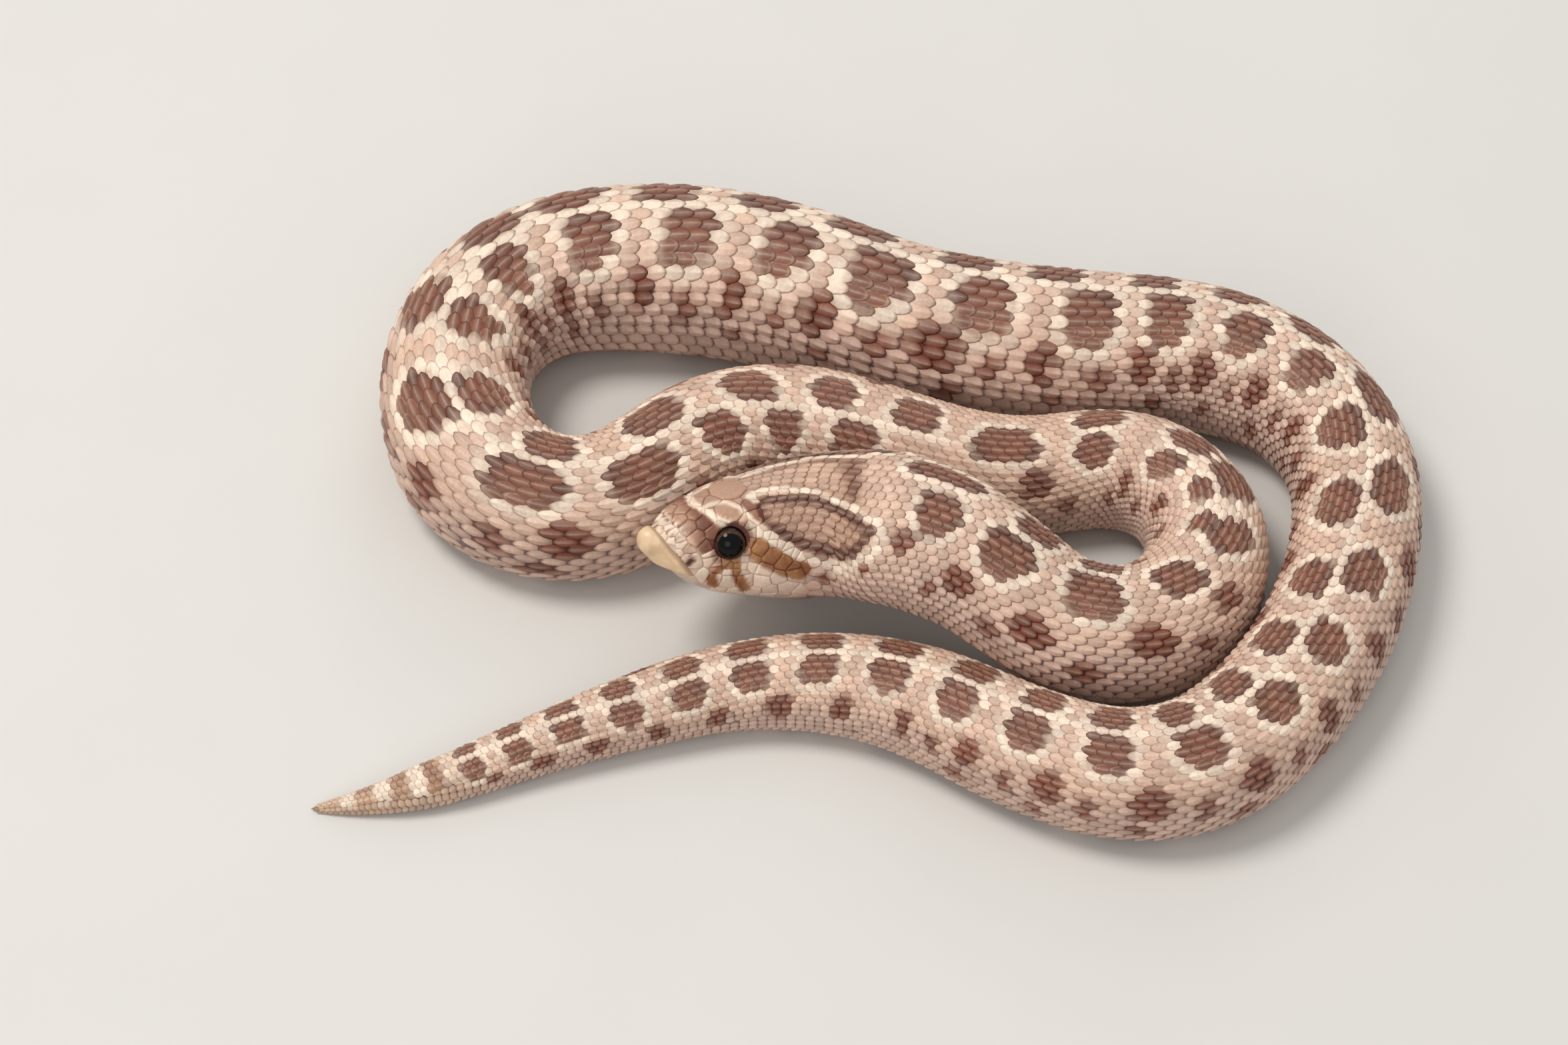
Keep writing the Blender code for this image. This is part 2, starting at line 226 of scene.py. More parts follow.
def ease(low, high, value):
    """Rises smoothly from 0 to 1 between two values."""
    t = np.clip((value - low) / (high - low), 0.0, 1.0)
    return t * t * (3 - 2 * t)


def fade(low, high, value):
    """Falls smoothly from 1 to 0 between two values."""
    return 1 - ease(low, high, value)


def bent(value, squareness):
    """A sine or cosine whose ellipse is squared off."""
    return np.sign(value) * np.abs(value) ** (2 / squareness)


def squared(angle, half, above, under, upper, lower):
    """A section of two half ellipses, as (side, height over its widest level)."""
    sine, cosine = np.sin(angle), np.cos(angle)
    top = cosine > 0
    side = half * np.where(top, bent(sine, upper), bent(sine, lower))
    return side, np.where(top, above * bent(cosine, upper), under * bent(cosine, lower))


def head_pose():
    """From the head's own axes to the scene's, both in millimetres."""
    turn = (
        Euler((0.0, 0.0, math.radians(180.0 + HEAD_YAW))).to_matrix().to_4x4()
        @ Euler((0.0, math.radians(HEAD_PITCH), 0.0)).to_matrix().to_4x4()
        @ Euler((math.radians(HEAD_ROLL), 0.0, 0.0)).to_matrix().to_4x4()
    )
    return Matrix.Translation(HEAD_PLACE) @ turn


HEAD_POSE = head_pose()
HEAD_ARRAY = np.array(HEAD_POSE)


def in_head(places):
    """Places in millimetres, seen from the head's own axes."""
    return (places - HEAD_ARRAY[:3, 3]) @ HEAD_ARRAY[:3, :3]


def body_route():
    """The body's centre line in steps from the nape: xs, ys and headings in radians."""
    turns = np.concatenate([np.full(round(n / ROUTE_STEP), turn * ROUTE_STEP / n) for n, turn in BENDS])
    window = np.hanning(2 * round(BEND_BLEND / ROUTE_STEP) + 1)
    turns = np.convolve(np.pad(turns, len(window) // 2), window / window.sum(), mode="valid")
    headings = np.radians(np.concatenate([[0.0], np.cumsum(turns)]))
    anchor = round(ANCHOR_ALONG / ROUTE_STEP)
    headings += math.radians(ANCHOR_HEADING) - headings[anchor]
    middle = (headings[1:] + headings[:-1]) / 2
    xs = np.concatenate([[0.0], np.cumsum(np.cos(middle)) * ROUTE_STEP])
    ys = np.concatenate([[0.0], np.cumsum(np.sin(middle)) * ROUTE_STEP])
    return xs + ANCHOR_PLACE[0] - xs[anchor], ys + ANCHOR_PLACE[1] - ys[anchor], headings


class Hide:
    """The hide's surface as a table over distance along and the share of the way round."""

    STEP = 0.5  # millimetres from one row to the next
    ROUND = 192  # steps round each section

    def __init__(self):
        self.alongs = np.arange(SNOUT_ALONG, TIP_ALONG + 0.01, self.STEP)
        angles = np.linspace(-math.pi, math.pi, 2 * self.ROUND + 1)
        outer = self.sections(self.alongs[:, None], angles[None, :])
        lengths = np.linalg.norm(np.diff(outer, axis=1), axis=2)
        round_ = np.concatenate([np.zeros((len(outer), 1)), np.cumsum(lengths, axis=1)], axis=1)
        round_ -= round_[:, self.ROUND : self.ROUND + 1]
        self.half = (round_[:, -1] - round_[:, 0]) / 2
        self.shares = np.linspace(-1.0, 1.0, self.ROUND + 1)
        places = []
        for distance, points in zip(round_, outer):
            share = np.where(distance > 0, distance / distance[-1], -distance / distance[0])
            places.append([np.interp(self.shares, share, points[:, k]) for k in range(3)])
        self.outer = self.eased(np.array(places).transpose(0, 2, 1))
        normals = np.cross(np.gradient(self.outer, axis=0), self.around())
        middle = self.outer[:, :-1].mean(axis=1, keepdims=True)
        normals *= np.sign((normals * (self.outer - middle)).sum(axis=2))[..., None]
        self.normals = normals / (np.linalg.norm(normals, axis=2, keepdims=True) + 1e-12)
        self.thick = np.linalg.norm(self.outer - middle, axis=2).mean(axis=1)
        self.stretch = np.linalg.norm(np.gradient(self.outer, self.STEP, axis=0), axis=2)

    def sink(self, depth):
        """Sets how deep under the solids' outside the hide lies, less where the animal is thin."""
        self.depth = depth * ease(0.0, 3.5, self.thick)

    def eased(self, places):
        """Smooths the crease between the jaw and the neck, as soft skin would."""
        window = np.hanning(13)[1:-1]
        window /= window.sum()
        padded = np.pad(places, ((5, 5), (0, 0), (0, 0)), mode="edge")
        soft = sum(weight * padded[n : n + len(places)] for n, weight in enumerate(window))
        much = (ease(-4.0, -1.5, self.alongs) * fade(6.0, 9.0, self.alongs))[:, None, None]
        return places * (1 - much) + soft * much

    def around(self):
        """The table's steps round each section, joined where it closes."""
        closed = np.concatenate([self.outer[:, -2:-1], self.outer, self.outer[:, 1:2]], axis=1)
        return closed[:, 2:] - closed[:, :-2]

    def sections(self, along, angle):
        """Points of the solids' outside; angle zero is the top and a quarter turn is the left side."""
        share = ease(*JOIN, along)[..., None]
        return self.head_sections(along, angle) * (1 - share) + self.body_sections(along, angle) * share

    def body_sections(self, along, angle):
        """The body's sections, run straight on ahead of the nape."""
        xs, ys, headings = body_route()
        route = np.arange(len(xs)) * ROUTE_STEP
        at = np.maximum(along, 0.0)
        back = np.minimum(along, 0.0)
        heading = np.interp(at, route, headings)
        half, height = curve(GIRTH, at, 1) / 2, curve(GIRTH, at, 2)
        level = height * WIDEST_LEVEL
        sink = BELLY_SINK * np.minimum(1.0, height / 4)
        above, under = height - level, level + sink
        side, up = squared(angle, half, above, under, BODY_SQUARENESS, BELLY_SQUARENESS)
        x = np.interp(at, route, xs) + back * np.cos(heading) + side * np.sin(heading)
        y = np.interp(at, route, ys) + back * np.sin(heading) - side * np.cos(heading)
        return np.stack([x, y, curve(LIFT, at) + np.maximum(level + up, 0.0)], axis=-1)

    def head_sections(self, along, angle):
        """The head's sections, in the head's own pose."""
        x = -along - SKULL_BACK
        half, crown, level, bottom = (curve(HEAD_SECTIONS, x, n) for n in (1, 2, 3, 4))
        above, under = crown - level, level - bottom
        side, up = squared(angle, half, above, under, CROWN_SQUARENESS, THROAT_SQUARENESS)
        local = np.stack([np.broadcast_to(x, side.shape), side, level + up], axis=-1)
        return local @ HEAD_ARRAY[:3, :3].T + HEAD_ARRAY[:3, 3]

    def cell(self, along, across):
        """Where a point falls in the table: row, column and the shares between them."""
        half = np.interp(along, self.alongs, self.half)
        share = (across + curve(MIDDLE_LINE, along)) / half
        share = (share + 1.0) % 2.0 - 1.0
        i = np.clip((along - self.alongs[0]) / self.STEP, 0, len(self.alongs) - 1.001)
        j = np.clip((share + 1.0) / 2.0 * self.ROUND, 0, self.ROUND - 0.001)
        return i.astype(int), j.astype(int), i % 1.0, j % 1.0

    def read(self, table, cell):
        """The table's value at a cell, blended from the four entries round it."""
        i, j, a, b = cell
        a = a.reshape(a.shape + (1,) * (table.ndim - 2))
        b = b.reshape(b.shape + (1,) * (table.ndim - 2))
        near = table[i, j] * (1 - b) + table[i, j + 1] * b
        far = table[i + 1, j] * (1 - b) + table[i + 1, j + 1] * b
        return near * (1 - a) + far * a

    def lay(self, along, across, lift):
        """Points at a height over the hide, in millimetres."""
        along, across, lift = np.broadcast_arrays(along, across, lift)
        along = along.astype(float)
        cell = self.cell(along, across.astype(float))
        normal = self.read(self.normals, cell)
        normal /= np.linalg.norm(normal, axis=-1, keepdims=True) + 1e-12
        depth = np.interp(along, self.alongs, self.depth)
        places = self.read(self.outer, cell) + normal * (lift - depth)[..., None]
        places[..., 2] = np.maximum(places[..., 2], 0.0)  # nothing goes under the floor
        return places

    def around_at(self, along):
        """Half the way round at a distance along."""
        return np.interp(along, self.alongs, self.half)

    def stretch_at(self, along, across):
        """How long a step along comes out at this place: more on the outside of a bend."""
        return self.read(self.stretch, self.cell(along, across))

    def lean_at(self, along, across):
        """How far along the body a step across it strays, where the hide is skewed."""
        step = 0.3
        back = self.lay(along + step, across, 0.0) - self.lay(along - step, across, 0.0)
        round_ = self.lay(along, across + step, 0.0) - self.lay(along, across - step, 0.0)
        return (back * round_).sum(axis=-1) / (back * back).sum(axis=-1)

    def mouth_across(self, along):
        """How far across the mouth's line lies on the left side of the head."""
        level = curve(MOUTH, -along - SKULL_BACK)
        across = np.linspace(0.25, 0.9, 60)[None, :] * self.around_at(along)[:, None]
        places = self.lay(along[:, None], across, self.depth.max())
        gap = np.abs(in_head(places)[..., 2] - level[:, None])
        return across[np.arange(len(along)), gap.argmin(axis=1)]


HIDE = Hide()
STRIPS = 4  # the unwrap lays the body out in this many strips, side by side
STRIP_LENGTH = (TIP_ALONG - SNOUT_ALONG) / STRIPS
BAKE_PATCH = 0.003  # the width of one scale's patch of the unwrap
BLOTCH_SEED, SCALE_SEED, SCUTE_SEED, SITE_SEED, PLATE_SEED = 11, 5, 8, 3, 21


def unwrap(along, share, strip=None):
    """A place on the hide's unwrap."""
    if strip is None:
        strip = np.clip((along - SNOUT_ALONG) // STRIP_LENGTH, 0, STRIPS - 1)
    u = (strip + 0.04 + 0.92 * (share + 1) / 2) / STRIPS
    v = 0.02 + 0.95 * (along - SNOUT_ALONG - strip * STRIP_LENGTH) / STRIP_LENGTH
    return u, v


def wrap(along, across):
    """The same place counted from the middle line the short way round."""
    half = HIDE.around_at(along)
    return (across + half) % (2 * half) - half


def bake_at(along, across, strip=None):
    """The unwrap's places for points on the hide."""
    share = wrap(along, across + curve(MIDDLE_LINE, along)) / HIDE.around_at(along)
    return np.stack(unwrap(along, share, strip), axis=-1)


def blotches():
    """Every dark mark of the body: (along, across, half length, half breadth, kind)."""
    rng = np.random.default_rng(BLOTCH_SEED)
    by_count = [(count, along) for along, count in BLOTCH_COUNT]
    found = [
        (along, top - float(curve(MIDDLE_LINE, along)), length, breadth, kind)
        for along, top, length, breadth, kind in NECK_MARKS
    ]
    for count in range(BLOTCH_COUNT[0][1], int(BLOTCH_COUNT[-1][1]) + 1):
        middle = float(curve(by_count, count))
        after = float(curve(by_count, count + 0.5))
        pitch = 2 * (after - middle) if count < LAST_PAIR else TIP_PITCH
        stagger = float(curve(BLOTCH_STAGGER, middle)) / 2
        half = float(HIDE.around_at(middle))
        apart = half * float(curve(BLOTCH_APART, middle))
        for side in (1, -1):
            place = middle + side * stagger
            if place < NECK_END:
                continue
            found.append((place, side * apart, BLOTCH_LENGTH * pitch, BLOTCH_BREADTH * apart, "back"))
            between = place + 0.6 * pitch
            size = 1 + 0.25 * rng.uniform(-1, 1)
            length = (SIDE_LENGTH if place < VENT_ALONG else TAIL_SIDE_LENGTH) * pitch * size
            found.append((between, side * SPOT_ROWS[0] * half, length, 0.095 * half, "side"))
            for spot, row, long, wide, often in (
                (place + 0.12 * pitch, SPOT_ROWS[1], 0.1, 0.075, 0.95),
                (between + 0.12 * pitch, SPOT_ROWS[2], 0.12, 0.05, 0.7),
            ):
                if rng.random() < often and place < VENT_ALONG:
                    spot += 0.06 * pitch * rng.uniform(-1, 1)
                    size = 1 + 0.25 * rng.uniform(-1, 1)
                    found.append((spot, side * row * half, long * pitch * size, wide * half, "low"))
    return found


def rounded(x, y):
    """How far out a point lies in a squarish oval whose border is at one."""
    return (x**BLOTCH_SQUARENESS + y**BLOTCH_SQUARENESS) ** (1 / BLOTCH_SQUARENESS)


def add_blotch(shown, along, across, place, side, length, breadth, kind):
    """Shows one blotch with its rim and pale border, or one rusty spot, on the points near it."""
    near = np.abs(along - place) < 3 * length + 2
    if not near.any():
        return
    away = np.abs(across[near] - side)
    outward = (np.abs(across[near]) - abs(side)) / breadth
    aside = np.abs(along[near] - place) / (1 - 0.12 * np.clip(outward, -1, 1))
    reach = rounded(aside / length, away / breadth)
    soft = 0.1 / max(length, 0.6)
    inside = fade(1 - soft, 1 + soft, reach)
    if kind == "back":
        border = 0.5 * float(curve(SCALE_PITCH, place))
        halo = fade(0.96, 1.14, rounded(aside / (length + border), away / (breadth + border)))
        parts = {"blotch": inside, "rim": inside * ease(0.55, 1.0, reach), "pale": halo * 0.95}
    else:
        parts = {"rust": inside * (0.97 if kind == "side" else 0.88)}
    for name, amount in parts.items():
        shown[name][near] = np.maximum(shown[name][near], amount)


BLOTCHES = blotches()


def marks(along, across):
    """How much of each marking a point shows, from its place on the hide."""
    share = np.abs(across) / HIDE.around_at(along)
    shown = {name: np.zeros(np.shape(along)) for name in ("blotch", "rim", "pale", "rust")}
    for blotch in BLOTCHES:
        add_blotch(shown, along, across, *blotch)
    # These stop at the nape, where the head's own markings begin.
    for name in shown:
        shown[name] = shown[name] * ease(6.4, 7.4, along)
    middle = fade(0.35, 0.8, np.abs(across)) * ease(NECK_END - 1, NECK_END + 3, along)
    shown["pale"] = np.maximum(shown["pale"], middle * 0.9)
    wander = 0.35 * np.sin(along * 2.9 + across * 1.3) + 0.3 * np.sin(across * 3.7 - along * 1.1)
    shown["flank"] = ease(0.3, 0.52, share + 0.01 * wander) * ease(-12.0, 4.0, along)
    shown["worn"] = ease(0.12, 0.26, share) * ease(3.0, 9.0, along)
    shown["rim"] = shown["rim"] * (1 - 0.85 * shown["worn"])
    shown["belly"] = ease(DORSAL_SHARE - 0.03, DORSAL_SHARE + 0.05, share)
    tail_marks(along, share, shown)
    head_marks(along, across, shown)
    shown["blotch"] = shown["blotch"] * (1 - shown["belly"])
    return shown


def tail_marks(along, share, shown):
    """Toward its tip the tail turns tan, with pale and dusky bars over the top."""
    tip = ease(*TAIL_TAN, along)
    wave = np.cos((along - TAIL_BARS[0]) * 2 * np.pi / TAIL_BARS[1])
    over = tip * fade(0.26, 0.42, share) * fade(355.5, 358.0, along)
    bar = over * ease(0.0, 0.5, wave)
    dusk = over * ease(-0.1, 0.4, -wave)
    for name in ("blotch", "rim", "rust", "flank", "pale"):
        shown[name] = shown[name] * (1 - tip)
    shown["pale"] = np.maximum(shown["pale"], np.maximum(bar, 0.85 * tip))
    shown["gold"] = tip * (1 - bar) * (0.5 + 0.1 * ease(350.0, 356.0, along))
    shown["blotch"] = np.maximum(shown["blotch"], dusk * (0.75 - 0.4 * ease(348.0, 356.0, along)))


def paint(shown, name, amount, over=()):
    """Shows a marking at least this much, over others that it hides."""
    shown[name] = np.maximum(shown[name], amount)
    for other in over:
        shown[other] = shown[other] * (1 - amount)


def near_path(along, side, path):
    """How far each point lies from a path."""
    least = np.full(np.shape(along), 99.0)
    for (a, b), (c, d) in zip(path, path[1:]):
        share = ((along - a) * (c - a) + (side - b) * (d - b)) / ((c - a) ** 2 + (d - b) ** 2)
        share = np.clip(share, 0.0, 1.0)
        least = np.minimum(least, np.hypot(along - a - share * (c - a), side - b - share * (d - b)))
    return least


def stroke(along, side, path, width, soft=0.12):
    """A painted line of this half width along a path."""
    return fade(width - soft, width + soft, near_path(along, side, path))


def head_marks(along, across, shown):
    """The head's own bands and patches, the same on both sides but for the band down the nape."""
    if (along > 10).all():
        return
    side = np.abs(across)
    crown_marks(along, across, side, shown)
    snout_marks(along, side, shown)
    lips = fade(-4.0, -1.0, along) * ease(7.6, 8.6, side)
    paint(shown, "pale", lips * 0.7, ("flank",))
    inside = nape_mark(along, side, shown)
    covered = ("blotch", "rim", "flank")
    for path, width in PALE_STRIPES:
        paint(shown, "pale", stroke(along, side, path, width), covered)
    corner = stroke(along, side, CORNER_STRIPE, 0.6, 0.3)
    paint(shown, "pale", corner * 0.8 * (1 - inside), covered)
    # The golden patch behind the eye and the bars on the lip.
    patch = stroke(along, side, CHEEK_PATCH, 0.95, 0.15) * (1 - stroke(along, side, CHEEK_STRIPE, 0.45))
    for path in LIP_BARS:
        patch = np.maximum(patch, stroke(along, side, path, 0.4))
    paint(shown, "gold", patch, ("pale", *covered))
    below = ease(0.1, 0.9, side - np.interp(along, *np.array(CHEEK_PATCH).T))
    paint(shown, "rim", patch * below * 0.35 * ease(-7.5, -6.5, along))
    # The skin round the eye, the rusty flecks behind the mouth's corner, and painted shade in the nostril's
    # pit.
    socket = fade(1.7, 2.0, np.hypot(along - EYE[0], side - EYE[1]))
    paint(shown, "blotch", socket, ("pale", "gold"))
    paint(shown, "rim", socket)
    for middle, level in JAW_FLECKS:
        paint(shown, "rust", fade(0.5, 0.9, np.hypot(along - middle, side - level)), ("pale",))
    # The nostril's pit is painted dark as shade.
    hole = fade(0.2, 0.5, np.hypot(along - NOSTRIL[0], side - NOSTRIL[1]))
    paint(shown, "blotch", hole, ("pale",))
    paint(shown, "rim", hole)


def crown_marks(along, across, side, shown):
    """The band down the middle of the nape, darker at its edges and end, and the crown plates."""
    inner = curve(NAPE_BAND, along)
    band = fade(inner - 0.3, inner - 0.05, side) * ease(-6.2, -5.8, along) * fade(4.2, 5.0, along)
    border = ease(inner - 1.1, inner - 0.4, side) * np.where(across < 0, 0.9, 0.5)
    closeness = np.maximum(border, ease(2.4, 3.8, along))
    paint(shown, "blotch", band * (0.22 + 0.6 * closeness), ("pale",))
    paint(shown, "rim", band * closeness * 0.5)
    crown = fade(3.6, 4.6, side) * ease(-11.4, -11.0, along) * fade(-6.4, -5.9, along)
    paint(shown, "blotch", crown * 0.5)
    rear = ease(2.0, 2.5, side) * fade(5.2, 5.8, side) * ease(-8.4, -7.6, along) * fade(-6.3, -5.8, along)
    paint(shown, "blotch", rear * 0.78)


def snout_marks(along, side, shown):
    """The dark band ahead of the eyes and the freckles on the pale snout."""
    snout = stroke(along, side, SNOUT_BAND, 1.1, 0.18)
    paint(shown, "blotch", snout * (0.55 + 0.35 * ease(-13.2, -11.8, along)), ("pale",))
    paint(shown, "rim", snout * ease(-12.6, -11.6, along) * 0.3)
    freckle = ease(0.25, 0.6, np.sin(along * 6.1 + side * 2.3) * np.sin(side * 5.7 - along * 1.7))
    tip = fade(-13.4, -12.6, along + 0.2 * side) + ease(-14.4, -13.6, along) * ease(4.4, 5.2, side)
    tip = np.clip(tip, 0, 1) * fade(-11.8, -11.0, along) * (1 - snout)
    paint(shown, "pale", tip * 0.75)
    paint(shown, "blotch", freckle * tip * fade(5.0, 6.0, side) * 0.8, ("pale",))


def nape_mark(along, side, shown):
    """The long blotch on each side of the nape, tan within a dark rim. Returns where it lies."""
    breadth = curve(NAPE_BREADTH, along) * ease(-6.9, -6.5, along) * fade(6.6, 7.0, along) + 0.01
    room = breadth - np.abs(side - curve(NAPE_AXIS, along))
    inside = ease(-0.12, 0.12, room)
    ends = np.minimum(along + 6.7, 1.3 * (6.9 - along))
    rim = fade(0.9, 1.6, np.minimum(room, ends + 0.5 * (along < 0)))
    for name in ("pale", "flank", "rust", "blotch", "rim"):
        shown[name] = shown[name] * (1 - inside)
    paint(shown, "blotch", inside * (0.56 + 0.44 * rim))
    paint(shown, "rim", inside * rim)
    return inside


MARK_NAMES = ("blotch", "rim", "pale", "rust", "flank", "belly", "gold", "worn")
DETAIL_NAMES = ("edge", "crest", "tone")  # a scale's own: its border, which also sets painted shade, the painted highlight on its keel, and how light it is
PATTERN_COLOURS = ("Ground", "Cream", "Brown", "Dark", "Rust", "Flank", "Gold", "Belly")


def write_attributes(mesh, values):
    """Keeps named values on a mesh, one for each point."""
    for name, value in values.items():
        layer = mesh.attributes.new(name, "FLOAT", "POINT")
        layer.data.foreach_set("value", np.asarray(value, np.float32))


def add_walls(bm):
    """Extrudes an open mesh's border, and returns the new points."""
    rim = [item for item in bm.edges if item.is_boundary]
    walls = bmesh.ops.extrude_edge_only(bm, edges=rim)["geom"]
    return [item for item in walls if isinstance(item, bmesh.types.BMVert)]


def close_holes(bm):
    """Fills what is open, and turns every face outward."""
    bmesh.ops.holes_fill(bm, edges=[item for item in bm.edges if item.is_boundary])
    bmesh.ops.recalc_face_normals(bm, faces=bm.faces)


def read_mesh(bm):
    """A bmesh's points, corners and face sizes as arrays, and frees it."""
    bm.verts.index_update()
    places = np.array([vert.co[:] for vert in bm.verts])
    corners = np.array([vert.index for face in bm.faces for vert in face.verts])
    totals = np.array([len(face.verts) for face in bm.faces])
    bm.free()
    return places, corners, totals


def finished_mesh(bm, name):
    """A bmesh in millimetres as a smooth mesh in metres."""
    bmesh.ops.scale(bm, vec=(MM, MM, MM), verts=bm.verts)
    mesh = bpy.data.meshes.new(name)
    bm.to_mesh(mesh)
    bm.free()
    mesh.shade_smooth()
    return mesh


def joined_mesh(name, places, corners, totals, values, bake):
    """One mesh of many like pieces, from arrays in metres, with its attributes and bake map."""
    mesh = bpy.data.meshes.new(name)
    mesh.vertices.add(len(places))
    mesh.vertices.foreach_set("co", places.astype(np.float32).ravel())
    mesh.loops.add(len(corners))
    mesh.loops.foreach_set("vertex_index", corners.astype(np.int32))
    mesh.polygons.add(len(totals))
    starts = np.concatenate([[0], np.cumsum(totals)[:-1]])
    mesh.polygons.foreach_set("loop_start", starts.astype(np.int32))
    mesh.update(calc_edges=True)
    mesh.shade_smooth()
    write_attributes(mesh, values)
    layer = mesh.uv_layers.new(name="OFBake")
    layer.data.foreach_set("uv", bake[corners].astype(np.float32).ravel())
    mesh.validate()
    return mesh


def link(name, data):
    """Puts new data into the scene as an object."""
    made = bpy.data.objects.new(name, data)
    bpy.context.scene.collection.objects.link(made)
    return made


def add_piece(name, mesh, material, stands_for=()):
    """Links a finished mesh as a piece that rides with the animal's one body."""
    made = link(name, mesh)
    mesh.materials.append(material)
    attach(made, "root")
    if stands_for:
        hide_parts(*stands_for)


# Shading


def node(tree, kind, **settings):
    """Adds a node with its settings."""
    made = tree.nodes.new(kind)
    for key, value in settings.items():
        setattr(made, key, value)
    return made


def set_inputs(made, values):
    """Sets a node's plain inputs by their labels."""
    for label, value in values.items():
        made.inputs[label].default_value = value


def object_place(tree):
    """Each point's place in metres."""
    return node(tree, "ShaderNodeTexCoord").outputs["Object"]


def feed(tree, source, target):
    """Links a socket, or sets a plain value."""
    if isinstance(source, bpy.types.NodeSocket):
        tree.links.new(source, target)
    else:
        target.default_value = source


def blend(tree, factor, first, second, mode="MIX"):
    """Mixes two colours."""
    made = node(tree, "ShaderNodeMix", data_type="RGBA", blend_type=mode, clamp_factor=True)
    for value, index in ((factor, 0), (first, 6), (second, 7)):
        feed(tree, value, made.inputs[index])
    return made.outputs[2]


def sums(tree, operation, *values):
    """One step of arithmetic."""
    made = node(tree, "ShaderNodeMath", operation=operation)
    for value, target in zip(values, made.inputs):
        feed(tree, value, target)
    return made.outputs[0]


def ramp(tree, value, low, high, start=0.0, end=1.0):
    """Maps a value smoothly from one range to another."""
    made = node(tree, "ShaderNodeMapRange", interpolation_type="SMOOTHSTEP")
    for item, target in zip((value, low, high, start, end), made.inputs):
        feed(tree, item, target)
    return made.outputs[0]


def noise(tree, place, size, detail=3.0, roughness=0.5):
    """A noise whose features are about this size, in metres."""
    made = node(tree, "ShaderNodeTexNoise")
    feed(tree, place, made.inputs["Vector"])
    set_inputs(made, {"Scale": 1 / size, "Detail": detail, "Roughness": roughness})
    return made.outputs["Fac"]


def attribute(tree, name):
    """Reads a point's own value."""
    return node(tree, "ShaderNodeAttribute", attribute_name=name).outputs["Fac"]


def new_group(name, inputs, outputs):
    """A node group with its sockets: the tree, what it is given and what it returns."""
    tree = bpy.data.node_groups.new(name, "ShaderNodeTree")
    for kind, sockets in (("INPUT", inputs), ("OUTPUT", outputs)):
        for label, shape, default in sockets:
            made = tree.interface.new_socket(name=label, in_out=kind, socket_type="NodeSocket" + shape)
            if default is not None:
                made.default_value = default
    return tree, tree.nodes.new("NodeGroupInput").outputs, tree.nodes.new("NodeGroupOutput").inputs


def linear(red, green, blue):
    """A display colour of 0 to 255 as a linear one."""
    values = []
    for value in (red, green, blue):
        value /= 255
        values.append(value / 12.92 if value <= 0.04045 else ((value + 0.055) / 1.055) ** 2.4)
    return tuple(values)


def pattern_group():
    """Mixes the hide's colours by how much of each marking shows, with painted shade toward borders and a
    painted highlight on the keels.
    """
    inputs = [(name, "Color", (1, 1, 1, 1)) for name in PATTERN_COLOURS]
    inputs += [(name, "Float", 0.0) for name in (*MARK_NAMES, *DETAIL_NAMES)]
    tree, given, out = new_group("hide_pattern", inputs, [("Color", "Color", None)])
    place = object_place(tree)
    mottle = noise(tree, place, 0.0016, 4.0)
    speck = noise(tree, place, 0.00035, 3.0, 0.6)
    cloud = noise(tree, place, 0.006, 2.0)
    ground = blend(tree, ramp(tree, cloud, 0.35, 0.65, 0.0, 0.45), given["Ground"], given["Flank"])
    colour = blend(tree, given["flank"], ground, given["Flank"])
    belly = blend(tree, ramp(tree, cloud, 0.46, 0.54, 0.0, 0.8), given["Belly"], given["Rust"])
    colour = blend(tree, given["belly"], colour, belly)
    pale = sums(tree, "MULTIPLY", given["pale"], ramp(tree, mottle, 0.25, 0.5, 0.7, 1.0))
    colour = blend(tree, pale, colour, given["Cream"])
    brown = blend(tree, ramp(tree, mottle, 0.35, 0.65, 0.0, 0.55), given["Brown"], given["Rust"])
    margin = ramp(tree, given["edge"], 0.25, 0.75)
    margin = sums(tree, "MULTIPLY", margin, ramp(tree, given["worn"], 0.0, 1.0, 0.12, 0.6))
    brown = blend(tree, margin, brown, given["Ground"])
    brown = blend(tree, ramp(tree, given["blotch"], 0.3, 0.9, 0.5, 0.0), brown, given["Gold"])
    colour = blend(tree, given["blotch"], colour, brown)
    colour = blend(tree, sums(tree, "MULTIPLY", given["rim"], 0.8), colour, given["Dark"])
    rust = blend(tree, ramp(tree, mottle, 0.3, 0.7, 0.0, 0.5), given["Rust"], given["Dark"])
    colour = blend(tree, given["rust"], colour, rust)
    gold = blend(tree, ramp(tree, mottle, 0.35, 0.65, 0.0, 0.7), given["Gold"], given["Rust"])
    colour = blend(tree, given["gold"], colour, gold)
    # Painted shade: darker toward the borders of scales, scutes and plates, under the scales and over the
    # bare hide between them.
    shade = ramp(tree, given["edge"], 0.45, 1.0, 0.0, 0.55)
    colour = blend(tree, shade, colour, given["Brown"], "MULTIPLY")
    # Painted highlight: the keels are lightened toward cream.
    colour = blend(tree, sums(tree, "MULTIPLY", given["crest"], 0.3), colour, given["Cream"])
    value = node(tree, "ShaderNodeHueSaturation")
    feed(tree, colour, value.inputs["Color"])
    light = sums(tree, "ADD", ramp(tree, given["tone"], 0.0, 1.0, -0.12, 0.12), 1.0)
    light = sums(tree, "ADD", light, ramp(tree, speck, 0.3, 0.7, -0.08, 0.08))
    feed(tree, light, value.inputs["Value"])
    feed(tree, value.outputs["Color"], out["Color"])
    return tree


